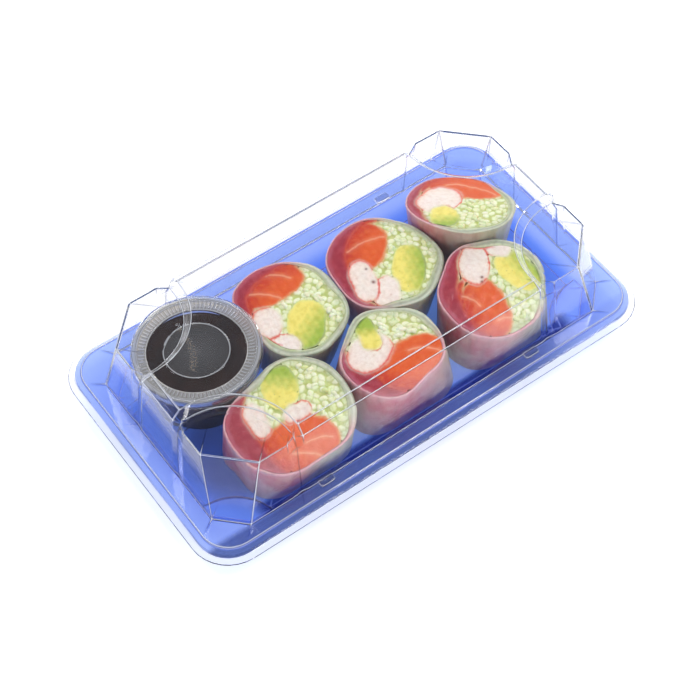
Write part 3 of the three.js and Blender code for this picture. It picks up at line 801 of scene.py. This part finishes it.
def make_pot():
    foot, wall, top = POT["z"], POT["wall"], POT["z"] + POT["height"]
    profile = [(0, foot), (POT["foot"], foot), (POT["mouth"], top - 2), (POT["lip"], top - 1.6)]
    profile += [(POT["lip"], top), (pot_radius(top) - wall, top)]
    profile += [(pot_radius(foot + wall) - wall, foot + wall), (0, foot + wall)]
    points, faces = lathe(soft_profile(profile), POT_SIDES)
    add_piece("pot_shell", points, faces, "pot", ["sauce_cup"], weighted=True)


def make_sauce():
    low = POT["z"] + POT["wall"] - WETTING
    deep, wide = (pot_radius(z) - POT["wall"] + WETTING for z in (low, SAUCE_Z))
    profile = [(0, low), (deep, low), (wide, SAUCE_Z + 0.5), (wide - 0.8, SAUCE_Z + 0.1)]
    profile += [(wide - 2, SAUCE_Z), (0, SAUCE_Z)]
    points, faces = lathe(soft_profile(profile, 0.3), POT_SIDES)
    add_piece("sauce", points, faces, "sauce", ["soy_sauce"], weighted=True)


CRIMPS, CRIMP = 88, 0.42  # waves round the rim of the pot's lid, and their height
MATT, LINE = 0.74, 0.9  # crease values of the pot lid's middle, which tint it darker with a faint painted grey sheen, and of its raised lines, painted shade with a painted white highlight
CIRCLE = 14  # a raised line round the matt middle of the pot's lid


def make_pot_lid():
    rim, recess, disc, top = (POT_LID[key] for key in ("radius", "recess", "disc", "top"))
    profile = [(0, disc - SHEET), (recess - SHEET, disc - SHEET), (recess, top - 1 - SHEET)]
    profile += [(rim - 0.8, top - 0.3 - SHEET), (rim - SHEET, POT_LID["z"])]
    profile += [(rim, POT_LID["z"]), (rim - 0.2, top - 0.4), (rim - 0.8, top), (rim - 1.2, top)]
    profile += [(rim - 1.6, top - 0.2), (rim - 2.2, top - 0.2), (rim - 2.6, top - 0.5), (rim - 3.2, top - 0.5)]
    profile += [(recess + 0.8, top - 0.9), (recess - 0.3, disc), (CIRCLE + 0.5, disc)]
    profile += [(CIRCLE + 0.2, disc + 0.2), (CIRCLE - 0.2, disc + 0.2), (CIRCLE - 0.5, disc), (0, disc)]

    def crimp(radius, angle):
        return CRIMP * math.cos(CRIMPS * angle) if recess + 0.6 < radius < rim - 3 else 0.0

    points, faces = lathe(soft_profile(profile, 0.3), CRIMPS * 6, crimp)
    x, y, _ = (np.array(points) - (POT["x"], POT["y"], 0)).T
    radius = np.hypot(x, y)
    wave = np.cos(CRIMPS * np.arctan2(y, x))
    # Painted shade in the crimps' troughs, and painted shade with a painted white highlight on their crests.
    crimp_shading = np.where(wave > 0.9, 0.95, np.clip(0.1 - 0.4 * wave, 0, 0.5))
    crimp_shading = crimp_shading * ((radius > recess + 0.2) & (radius < rim - 3.05))
    # Painted shade and a painted white highlight along the rim's raised lines and at the step into the recess.
    edge = 0.1 * (radius > rim - 3.1)
    for line in (rim - 1, rim - 2.4, rim - 3.1):
        edge = np.maximum(edge, LINE * (np.abs(radius - line) < 0.12))
    middle = np.where(np.abs(radius - CIRCLE) < 0.25, LINE, MATT * (radius < CIRCLE - 0.3))
    middle[-2:] = MATT + 0.02  # on the axis
    step = LINE * (np.abs(radius - recess) < 0.45)
    crease = np.max([crimp_shading, edge, step, middle], axis=0)
    values = {"crease": crease}
    add_piece("pot_lid_shell", points, faces, "pot_lid", ["sauce_cup_lid"], values, weighted=True)


make_pot()
make_sauce()
make_pot_lid()

# ---- rolls ----

STEP = 0.34  # grid of a cut face
SEAM = -0.04  # half the gap between fillings, which overlap a little
FILM, FOLDS = 1.2, (2.2, 4.6)  # thickness of the paper at the cut: over the fish, and where it is folded
CELL = 3.3  # between the cut ends of shreds, in rows half a step apart
JITTER = 0.3 * CELL
EXTENT = 29  # how far the shreds' rows reach from the middle
SOFTENING = np.radians(np.linspace(-15, 15, 9))  # the outline is averaged over these turns
SQUARER = 2 / 0.85  # power of the fillings' ellipses
SCRAP = 4  # squares of a patch that is left out
WAVES = ((0.83, 0.56, 1), (-0.47, 0.88, 1.37), (0.99, -0.14, 1.81))  # ways and steepness of a wobble


class Roll:
    """One cut roll, in its own space: the middle of the roll at 0, height t from 0 to 1."""

    def __init__(self, letter, data, seed):
        self.letter = letter
        self.data = data
        self.fillings = [cut[0] for cut in data["cuts"]] + ["cucumber"]
        self.random = np.random.default_rng(seed)
        self.phases = self.random.uniform(0, 2 * math.pi, 24)
        columns, rows = (np.arange(-EXTENT, EXTENT, step) for step in (CELL, CELL * 0.87))
        across, up = np.meshgrid(columns, rows, indexing="ij")
        across = across + (np.arange(up.shape[1]) % 2) * CELL / 2
        self.cells = np.stack([across, up], axis=-1).reshape(-1, 2)
        count = len(self.cells)
        self.cells += self.random.uniform(-JITTER, JITTER, (count, 2))
        self.turns = self.random.uniform(0, math.pi, count)
        self.cell_looks = self.random.uniform(0, 1, (count, 4))

    def reach(self, angle, inset=0.0, outline=None):
        """Distance from the middle to the outside: a circle with pressed flats, its corners softened."""
        outline = outline or self.data
        total = np.zeros_like(angle)
        for offset in SOFTENING:
            radius = np.full_like(angle, outline["radius"])
            for direction, distance in outline["flats"]:
                facing = np.cos(angle + offset - math.radians(direction))
                near = facing > 0.3
                radius = np.where(near, np.minimum(radius, distance / np.where(near, facing, 1)), radius)
            total += radius
        return total / len(SOFTENING) - inset

    def place(self, x, y, t, lift=0.0):
        data = self.data
        fx, fy, fz = data["face"]
        scale = lerp(data["taper"], 1, t)
        crown = CROWN * np.maximum(0, 1 - (x * x + y * y) / data["radius"] ** 2)
        top = fz + crown - data["lean"] * (AWAY[0] * x + AWAY[1] * y)
        px = lerp(data["base"][0], fx, t) + x * scale
        py = lerp(data["base"][1], fy, t) + y * scale
        return np.stack([px, py, lerp(ROLL_Z, top, t) + lift], axis=-1)

    def place_side(self, angle, t, change):
        """A point of the paper's outside, moved out by change."""
        data = self.data
        face = self.reach(angle)
        foot = self.reach(angle, outline=data["foot"]) if "foot" in data else data["taper"] * face
        c, s = np.cos(angle), np.sin(angle)
        place = self.place((face + change) * c, (face + change) * s, t)
        radius = lerp(foot, face, t) + change
        place[:, 0] = lerp(data["base"][0], data["face"][0], t) + radius * c
        place[:, 1] = lerp(data["base"][1], data["face"][1], t) + radius * s
        return place

    def wobble(self, x, y, size, index):
        """A smooth wave from -1 to 1 that changes over about size millimetres."""
        k = 2 * math.pi / size
        phases = self.phases[index : index + len(WAVES)]
        return sum(np.sin(k * (a * x + b * y) * f + p) for (a, b, f), p in zip(WAVES, phases)) / 3

    def cut(self, name):
        return next(cut for cut in self.data["cuts"] if cut[0] == name)

    def thickness(self, angle):
        """Of the paper at the cut: a film over the fish, thicker and uneven where it is folded over."""
        fold = 0.5 + 0.3 * np.sin(2 * angle + self.phases[20]) + 0.2 * np.sin(5 * angle + self.phases[21])
        return lerp(lerp(*FOLDS, fold), FILM, bump_between(angle, *self.data["film"], 7))

    def inside_ellipse(self, cut, x, y):
        """Distance inside an ellipse with squarer corners."""
        _, across, up, length, width, turn = cut
        c, s = math.cos(math.radians(turn)), math.sin(math.radians(turn))
        u = (x - across) * c + (y - up) * s
        v = (y - up) * c - (x - across) * s
        q = (np.abs(u / length) ** SQUARER + np.abs(v / width) ** SQUARER) ** (1 / SQUARER)
        far = np.hypot(u, v)
        return far / np.maximum(q, 1e-6) - far

    def inside_crescent(self, cut, x, y):
        """Distance inside a crescent along the rim, thickest half way between two directions."""
        _, start, end, thick = cut
        middle, half = math.radians((start + end) / 2), math.radians((end - start) / 2)
        angle = np.arctan2(y, x)
        away = (angle - middle + math.pi) % (2 * math.pi) - math.pi
        depth = thick * (np.cos(away) - math.cos(half)) / (1 - math.cos(half))
        return depth - (self.reach(angle, WRAP) - np.hypot(x, y))

    def inside(self, name, x, y):
        """Distance inside the room of one filling, negative outside it."""
        wx = x + 0.5 * self.wobble(x, y, 11, 0) + 0.18 * self.wobble(x, y, 3.1, 2)
        wy = y + 0.5 * self.wobble(x, y, 11, 3) + 0.18 * self.wobble(x, y, 3.1, 5)
        angle = np.arctan2(y, x)
        room = self.reach(angle) - 0.05 - self.thickness(angle) - np.hypot(x, y)
        for cut in self.data["cuts"]:
            rule = self.inside_crescent if cut[0] == "tuna" else self.inside_ellipse
            depth = rule(cut, wx, wy)
            if cut[0] == "salmon":
                beside = 2.5 + self.inside_crescent(self.cut("tuna"), wx, wy)
                depth = np.maximum(depth, np.minimum(depth + 4, beside))
            if cut[0] == name:
                return np.minimum(room, depth - SEAM)
            room = np.minimum(room, -depth - SEAM)
        return room

    def shreds(self, x, y):
        """Cut ends of shreds packed side by side: how deep a point is in its shred, and which one it is."""
        first = np.full(x.shape, 99.0)
        second = np.full(x.shape, 99.0)
        which = np.zeros(x.shape, int)
        for i, (cx, cy) in enumerate(self.cells):
            c, s = math.cos(self.turns[i]), math.sin(self.turns[i])
            u, v = (x - cx) * c + (y - cy) * s, (y - cy) * c - (x - cx) * s
            long, wide = self.cell_looks[i, :2]
            far = np.hypot(u / (1.15 + 0.6 * long), v / (0.95 + 0.25 * wide))
            nearer = far < first
            second = np.where(nearer, first, np.minimum(second, far))
            which = np.where(nearer, i, which)
            first = np.where(nearer, far, first)
        between = np.clip((second - first) / 0.55, 0, 1)
        dome = np.clip(1.35 - first, 0, 1)
        return np.sqrt(between * np.clip(dome * 1.2, 0, 1)), which

    def bleed(self, name, x, y, colour):
        """The colour with some of each neighbour's in it, beside that neighbour."""
        for other in self.fillings:
            if other != name:
                away = np.maximum(-self.inside(other, x, y), 0)
                share = 0.45 * np.exp(-((away / SOFT) ** 2))[:, None]
                colour = lerp(colour, tone(BLEED[kind_of(other)]), share)
        return colour


SOFT = 0.75  # how far colours run into each other
BLEED = {
    "tuna": "#a83038",
    "salmon": "#e06430",
    "crab": "#ecd8c8",
    "avocado": "#c6cc60",
    "cucumber": "#dce2a0",
}


def kind_of(name):
    return name.split("_")[0]


def bump_between(angle, start, end, soft):
    """1 between two angles in degrees, falling off softly outside."""
    middle = math.radians((start + end) / 2)
    half = math.radians((end - start) / 2)
    away = np.abs((angle - middle + math.pi) % (2 * math.pi) - math.pi) - half
    return 1 / (1 + np.exp(away / math.radians(soft)))


def cut_grid(roll, name):
    """Grid points inside a filling, those at its edge moved onto it, and the squares between them."""
    size = int(30 / STEP)
    index = np.arange(-size, size + 1) * STEP
    x, y = np.meshgrid(index, index, indexing="ij")
    kept = roll.inside(name, x, y) > 0.08
    low, high = slice(None, -1), slice(1, None)
    corners = ((low, low), (high, low), (high, high), (low, high))
    square = np.logical_and.reduce([kept[corner] for corner in corners])
    used = np.zeros_like(kept)
    for corner in corners:
        used[corner] |= square
    number = np.cumsum(used).reshape(used.shape) - 1
    faces = np.stack([number[corner][square] for corner in corners], axis=1)
    x, y = x[used], y[used]
    edges = np.concatenate([faces[:, [i, (i + 1) % 4]] for i in range(4)])
    key = edges[:, 0] * len(x) + edges[:, 1]
    reverse = edges[:, 1] * len(x) + edges[:, 0]
    border = edges[~np.isin(key, reverse)]
    rim = np.unique(border)
    for _ in range(3):
        h = 0.05
        f = roll.inside(name, x[rim], y[rim])
        dx = (roll.inside(name, x[rim] + h, y[rim]) - f) / h
        dy = (roll.inside(name, x[rim], y[rim] + h) - f) / h
        steep = np.maximum(dx * dx + dy * dy, 0.2)
        move = np.clip(f / steep, -0.4, 0.4)
        x[rim] -= move * dx
        y[rim] -= move * dy
    return x, y, faces, border


def whole_patches(x, y, faces, border):
    """The connected patches of a grid, but for scraps."""
    count = len(x)
    label = np.arange(count)
    while True:
        low = label[faces].min(axis=1)
        fresh = label.copy()
        for corner in range(4):
            np.minimum.at(fresh, faces[:, corner], low)
        if (fresh == label).all():
            break
        label = fresh[fresh]
    large = np.bincount(label[faces[:, 0]], minlength=count) > SCRAP
    faces, border = faces[large[label[faces[:, 0]]]], border[large[label[border[:, 0]]]]
    used = np.unique(faces)
    number = -np.ones(count, int)
    number[used] = np.arange(len(used))
    return x[used], y[used], number[faces], number[border]


EDGE = 0.03  # radius of the edge of a cut filling
LEVELS = (0.93, 0.7, 0.35, 0.0)  # heights of the rings down its side
RELIEF = {"crab": (0.12, 6, 9), "avocado": (0.1, 9, 12), "tuna": (0.1, 7, 18), "salmon": (0.1, 7, 15)}


def relief(roll, kind, x, y):
    """How uneven a cut is: a soft wave (height, size, first phase), or the ends of shreds."""
    if kind != "cucumber":
        height, size, index = RELIEF[kind]
        return height * roll.wobble(x, y, size, index)
    depth, which = roll.shreds(x, y)
    looks = roll.cell_looks[which]
    return -0.6 + 0.6 * depth * (0.7 + 0.3 * looks[:, 2]) + 0.15 * looks[:, 3]


def filling(roll, name):
    """A filling as a closed body: its cut face with a rounded edge and relief, and sides down to the base."""
    kind = kind_of(name)
    x, y, faces, border = whole_patches(*cut_grid(roll, name))
    count, rim = len(x), np.unique(border)
    inner = np.setdiff1d(np.arange(count), rim)
    within = roll.inside(name, x, y)
    depth = np.clip(within, 0, EDGE)
    drop = EDGE - np.sqrt(np.maximum(EDGE**2 - (EDGE - depth) ** 2, 0))
    lift = relief(roll, kind, x, y) * np.clip(within / SOFT, 0, 1) - drop

    layers = [(np.arange(count), 1.0), *((rim, level) for level in LEVELS), (inner, 0.0)]
    points = [roll.place(x[kept], y[kept], t, lift if t == 1.0 else 0.0) for kept, t in layers]
    all_faces = [faces]
    above = np.arange(count)
    for level in range(len(LEVELS)):
        below = -np.ones(count, int)
        below[rim] = count + level * len(rim) + np.arange(len(rim))
        start, end = border.T
        all_faces.append(np.stack([above[end], above[start], below[start], below[end]], axis=1))
        above = below
    above[inner] = count + len(LEVELS) * len(rim) + np.arange(len(inner))
    all_faces.append(above[faces][:, ::-1])

    everywhere = [np.concatenate([axis[kept] for kept, _ in layers]) for axis in (x, y)]
    heights = np.concatenate([np.full(len(kept), t) for kept, t in layers])
    paint = PAINTS[kind](roll, name, *everywhere)
    node = f"roll_{roll.letter}_{name}"
    add_piece(
        f"{node}_flesh",
        np.concatenate(points),
        np.concatenate(all_faces).tolist(),
        kind,
        [node],
        values={mark: rule(roll, name, *everywhere, heights) for mark, rule in MARKS.get(kind, {}).items()},
        paint=roll.bleed(name, *everywhere, paint),
        crisp=True,
    )


AROUND = 240  # points round the paper
LIP = [(0, -0.4), (0.1, -0.1), (0.25, 0.05), (0.4, 0.08), (0.55, 0.08), (0.7, 0.06), (0.85, 0.0), (1, -0.12)]


def make_wrapper(roll):
    """The rice paper: a wall round the fillings, flush with the cut, its side faintly creased."""
    angle = np.linspace(0, 2 * math.pi, AROUND, endpoint=False)
    outer, thick = roll.reach(angle), roll.thickness(angle)
    rings, paints = [], []
    for t in (0, 0.01, *np.linspace(0.05, 0.95, 19), 0.98):
        crease = 0.16 * np.sin(9 * angle + 2.1 * t + roll.phases[0])
        crease = crease + 0.12 * np.sin(23 * angle + roll.phases[1])
        strength = 0.8 * math.sin(math.pi * min(1, 0.15 + t * 0.7))
        rings.append(roll.place_side(angle, t, crease * strength - 0.25))
        paints.append(side_paint(roll, angle, t))
    ripple = 0.08 * np.sin(5 * angle + roll.phases[2]) + 0.05 * np.sin(13 * angle + roll.phases[3])
    lip = [(lerp(0.25, thick, part), 1.0, lift + ripple, part) for part, lift in LIP]
    for inset, t, lift, part in (*lip, (thick, 0.5, 0.0, 1.0), (thick, 0.0, 0.0, 1.0)):
        radius = outer - inset
        rings.append(roll.place(radius * np.cos(angle), radius * np.sin(angle), t, lift))
        paints.append(lip_paint(roll, angle, part))
    faces = wall_faces(len(rings), AROUND, closed=True)
    node = f"roll_{roll.letter}_wrapper"
    points, paint = np.concatenate(rings), np.concatenate(paints)
    add_piece(f"{node}_paper", points, faces, "rice_paper", [node], paint=paint)


def side_paint(roll, angle, t):
    """What shows faintly through the paper at the side, darker towards the base as painted shade."""
    pink = lerp(tone("#a04c68"), tone("#c85a64"), t)
    pale = lerp(tone("#7e765c"), tone("#b4b296"), t)
    cloud = 0.12 * np.sin(3 * angle + 5 * t + roll.phases[6])
    cloud = cloud + 0.1 * np.sin(7 * angle - 4 * t + roll.phases[7])
    red = weight(bump_between(angle, *roll.data["paper"], 12) + cloud * 0.6)
    fold = 0.5 + 0.5 * np.sin(4 * angle + 3 * t + roll.phases[10])
    layer = (np.clip((fold - 0.6) * 6, 0, 1) * 0.22)[:, None]
    top = min(1.0, max(0.0, (t - 0.84) / 0.12))
    body = lerp(lerp(pale, pink, red), tone("#e0a8ae"), 0.6 * top * red)
    return lerp(body, tone("#d8ccc6"), layer)


def lip_paint(roll, angle, part):
    """The cut edge of the paper: reddish over the fish, and a cloudy band where it is folded."""
    red = bump_between(angle, *roll.data["film"], 6)[:, None]
    fish = lerp(tone("#dca2ac"), tone("#aa4450"), max(0.0, part * 1.6 - 0.6))
    layers = 0.5 + 0.5 * np.sin(9 * part + 1.5 * np.sin(2 * angle + roll.phases[8]) + roll.phases[9])
    band = lerp(tone("#989e84"), tone("#c8ccb4"), layers[:, None])
    band = lerp(band, tone("#c3cc92"), max(0.0, part - 0.5) * 1.6)
    return lerp(band, fish, red)


SHREDS, TRIES = 12, 6000  # loose shreds on a cut, and places tried for them
SIDES, STEPS = 6, 7  # of a shred: points round it, and along it


def shred_spine(roll):
    """The middle line and the width of a shred at a random place, if it would lie on cucumber."""
    random = roll.random
    x, y = random.uniform(-27, 27, 2)
    if roll.inside("cucumber", np.array([x]), np.array([y]))[0] < 0.7:
        return None
    heading = random.uniform(0, math.pi)
    length = random.uniform(2.2, 4.2)
    width = random.uniform(0.8, 1.15)
    bend = random.uniform(-0.9, 0.9)
    along = np.linspace(-0.5, 0.5, STEPS)
    sx = x + length * (along * math.cos(heading) - bend * along**2 * math.sin(heading))
    sy = y + length * (along * math.sin(heading) + bend * along**2 * math.cos(heading))
    if roll.inside("cucumber", sx, sy).min() < 0.35:
        return None
    lift = random.uniform(-0.35, 0.1)
    tilt = random.uniform(-0.5, 0.5)
    spine = roll.place(sx, sy, 1.0, lift + tilt * along - 1.6 * along**2)
    spine[[0, -1], 2] -= 0.4
    return spine, width


def strands(roll):
    """A few shreds of cucumber that lie on the cut, as one joined mesh."""
    points, faces, paints = [], [], []
    for _ in range(TRIES):
        if len(paints) == SHREDS:
            break
        made = shred_spine(roll)
        if made is None:
            continue
        spine, width = made
        tangent = np.gradient(spine, axis=0)
        tangent /= np.linalg.norm(tangent, axis=1, keepdims=True)
        side = np.cross(tangent, (0, 0, 1.0))
        side /= np.linalg.norm(side, axis=1, keepdims=True)
        up = np.cross(side, tangent)
        taper = np.array([0.55, *[1.0] * (STEPS - 2), 0.55])[:, None]
        first = len(points) * STEPS
        for k in range(SIDES):
            turn = 2 * math.pi * k / SIDES + 0.4
            points.append(spine + width * taper * (side * math.cos(turn) + 0.8 * up * math.sin(turn)))
            a, b = first + k * STEPS, first + (k + 1) % SIDES * STEPS
            faces += [(a + i, a + i + 1, b + i + 1, b + i) for i in range(STEPS - 1)]
        starts = [first + k * STEPS for k in range(SIDES)]
        faces += [tuple(starts), tuple(start + STEPS - 1 for start in starts)[::-1]]
        paints.append(np.tile(shred_colour(roll.random.uniform(), 1.0), (SIDES * STEPS, 1)))
    node = f"roll_{roll.letter}_cucumber"
    add_piece(f"{node}_shreds", np.concatenate(points), faces, "cucumber", paint=np.concatenate(paints))


def shred_colour(shade, depth):
    """Whitish to yellow-green, deeper in the seams between the shreds."""
    shade, depth = np.atleast_1d(shade)[:, None], np.atleast_1d(depth)[:, None]
    body = lerp(tone("#f6f5dc"), tone("#e0e6a4"), shade**1.3)
    gap = lerp(tone("#c2c978"), tone("#dade9c"), np.clip(depth * 2.2, 0, 1))
    return lerp(gap, body, np.clip(depth * 1.7 - 0.3, 0, 1))


# ---- what shows on a cut: paints are colours, and marks are values from 0 to 1 ----


def weight(value):
    """A value cut to between 0 and 1, as a column to mix colours by."""
    return np.clip(value, 0, 1)[:, None]


def from_middle(x, y):
    return np.arctan2(y, x), np.hypot(x, y)


def cucumber_paint(roll, name, x, y):
    """Shreds, duller beside the paper."""
    depth, which = roll.shreds(x, y)
    ripe = 0.5 + 0.5 * roll.wobble(x, y, 14, 17)
    colour = shred_colour(0.6 * roll.cell_looks[which, 3] + 0.4 * ripe, depth)
    angle, far = from_middle(x, y)
    veil = 0.6 * weight(1.9 - (roll.reach(angle) - far) / 3.2 + 0.3 * roll.wobble(x, y, 9, 8))
    return lerp(colour, tone("#b9c09a"), veil)


def salmon_paint(roll, name, x, y):
    """Red beside the tuna, more orange away from it."""
    away = -roll.inside_crescent(roll.cut("tuna"), x, y) + 0.8 * roll.wobble(x, y, 8, 12)
    return lerp(tone("#c02a18"), tone("#e0581a"), weight(away / 9))


def tuna_paint(roll, name, x, y):
    """Mauve in the middle, paler and pinker under the paper, redder beside the salmon."""
    angle, far = from_middle(x, y)
    out = roll.reach(angle, WRAP) - far + 0.4 * roll.wobble(x, y, 6, 15)
    flesh = lerp(tone("#b4586a"), tone("#9a2838"), weight(out / 1.8))
    within = roll.inside_crescent(roll.cut("tuna"), x, y)
    return lerp(tone("#b8302a"), flesh, weight(within / 2.5))


def avocado_paint(roll, name, x, y):
    """Yellow flesh that turns green, and dark at the skin side."""
    _, across, up, _, width, _ = roll.cut("avocado")
    direction = math.radians(roll.data["green"])
    along = ((x - across) * math.cos(direction) + (y - up) * math.sin(direction)) / width
    green = weight(0.3 + 0.8 * (along + 0.2 * roll.wobble(x, y, 5, 11)))
    rim = weight(1.2 - roll.inside("avocado", x, y) / 0.9) * weight(1.6 * along - 0.6)
    return lerp(lerp(tone("#f0e070"), tone("#9cb636"), green), tone("#48641e"), rim)


def to_fish(roll, x, y):
    """Distance to the tuna or the salmon."""
    return -np.maximum(roll.inside("tuna", x, y), roll.inside("salmon", x, y))


def crab_paint(roll, name, x, y):
    """White meat, a little warmer towards the fish."""
    warm = (0.5 * np.exp(-to_fish(roll, x, y) / 2.2))[:, None]
    return lerp(tone("#f4e6da"), tone("#eebfa8"), warm)


def crab_skin(roll, name, x, y, t):
    """The red skin along one side of a crab stick, and a red edge beside the fish."""
    _, across, up, *_ = roll.cut(name)
    direction, width = roll.data["skin"].get(name, (0, 1))
    angle, _ = from_middle(x - across, y - up)
    strong = bump_between(angle, direction - width, direction + width, 9)
    ragged = 0.25 * roll.wobble(x, y, 4, 4) + 0.25 * roll.wobble(x, y, 1.7, 7)
    halo = 0.85 * np.exp(-((to_fish(roll, x, y) / (0.75 + ragged)) ** 2))
    skin = np.clip(1.3 - roll.inside(name, x, y) / (0.8 + ragged), 0, 1) * strong
    return np.maximum(skin, halo * (t > 0.9))


def dark_spots(roll, name, x, y, t):
    strength = np.zeros(x.shape)
    for sx, sy, size in roll.data.get("spots", ()):
        strength = np.maximum(strength, np.exp(-(((x - sx) ** 2 + (y - sy) ** 2) / size**2)))
    return strength


def near_curve(x, y, curve):
    """Distance to a bent line (x, y, bend, x, y)."""
    x0, y0, bend, x1, y1 = curve
    dx, dy = x1 - x0, y1 - y0
    best = np.full(x.shape, 99.0)
    for t in np.linspace(0, 1, 40):
        out = bend * 4 * t * (1 - t) / math.hypot(dx, dy)
        best = np.minimum(best, np.hypot(x - lerp(x0, x1, t) + out * dy, y - lerp(y0, y1, t) - out * dx))
    return best


def fat_lines(roll, name, x, y, t):
    """A few thin pale lines of fat, with a faint glow round them."""
    wx = x + 0.3 * roll.wobble(x, y, 6, 6)
    wy = y + 0.3 * roll.wobble(x, y, 6, 9)
    strength = np.zeros(x.shape)
    for curve in roll.data["fat"]:
        far = near_curve(wx, wy, curve)
        line = 0.5 * np.exp(-((far / 0.32) ** 2)) + 0.2 * np.exp(-((far / 1.3) ** 2))
        strength = np.maximum(strength, line)
    return strength


PAINTS = {
    "tuna": tuna_paint,
    "salmon": salmon_paint,
    "crab": crab_paint,
    "avocado": avocado_paint,
    "cucumber": cucumber_paint,
}
MARKS = {"crab": {"skin": crab_skin, "spot": dark_spots}, "salmon": {"fat": fat_lines}}
FIRST_SEED = 11

for number, (letter, data) in enumerate(ROLLS.items()):
    roll = Roll(letter, data, FIRST_SEED + number)
    make_wrapper(roll)
    for name in roll.fillings:
        filling(roll, name)
    strands(roll)

# ---- floor and light ----

FLOOR_Z = -0.3  # just under the tray's foot


def add_floor():
    half = 3.0
    mesh = bpy.data.meshes.new("floor")
    corners = [(x * half, y * half, FLOOR_Z * MM) for x, y in ((-1, -1), (1, -1), (1, 1), (-1, 1))]
    mesh.from_pydata(corners, [], [(0, 1, 2, 3)])
    floor = bpy.data.objects.new("floor", mesh)
    glow = {"Emission_Color": (1.0, 1.0, 1.0, 1.0), "Emission_Strength": 0.4}
    look = Look("floor", Roughness=0.9, Specular_IOR_Level=0.0, **glow)
    look.link(look.mix(look.noise(60), (0.965, 0.965, 0.965), (0.98, 0.98, 0.98)))
    mesh.materials.append(look.material)
    bpy.context.scene.collection.objects.link(floor)


def add_light(name, direction, distance, size, radiance):
    """A softbox seen from the tray in a direction, facing it, as bright as radiance all over."""
    data = bpy.data.lights.new(name, "AREA")
    data.shape = "RECTANGLE"
    data.size, data.size_y = size
    data.energy = radiance * math.pi * size[0] * size[1]
    light = bpy.data.objects.new(name, data)
    place = Vector(direction).normalized() * distance
    light.location = place
    light.rotation_euler = (-place).to_track_quat("-Z", "Y").to_euler()
    bpy.context.scene.collection.objects.link(light)


def add_world():
    """A pale room that is brighter near the ground than overhead."""
    world = bpy.data.worlds.new("studio")
    tree = Tree(world)
    up = tree.axes(tree.node("ShaderNodeTexCoord", {}).outputs["Generated"])["Z"]
    colour = tree.mix(tree.spread(up, 0.45, 0.62), (1.0, 1.0, 1.0), (0.3, 0.34, 0.4))
    tree.links.new(colour, tree.nodes["Background"].inputs["Color"])
    bpy.context.scene.world = world


# Each softbox: the way to it from the tray, how far off it is, its width and height in metres, and how
# bright it is.
LIGHTS = {
    "key": ((0.333, 0.0, 0.944), 1.3, (0.42, 0.22), 15),
    "top": ((-0.02, 0.12, 0.99), 1.3, (0.18, 0.18), 12),
    "left": ((-0.12, 0.47, 0.875), 1.3, (0.26, 0.26), 8),
    "back": ((0.333, 0.816, 0.473), 1.4, (0.6, 0.16), 10),
    "right": ((0.7, 0.47, 0.54), 1.4, (0.16, 0.4), 10),
    "front": ((0.333, -0.86, 0.39), 1.4, (0.6, 0.12), 14),
}

add_floor()
for name, light in LIGHTS.items():
    add_light(name, *light)
add_world()
bpy.context.scene.view_settings.view_transform = "Standard"
bpy.context.scene.cycles.caustics_refractive = False
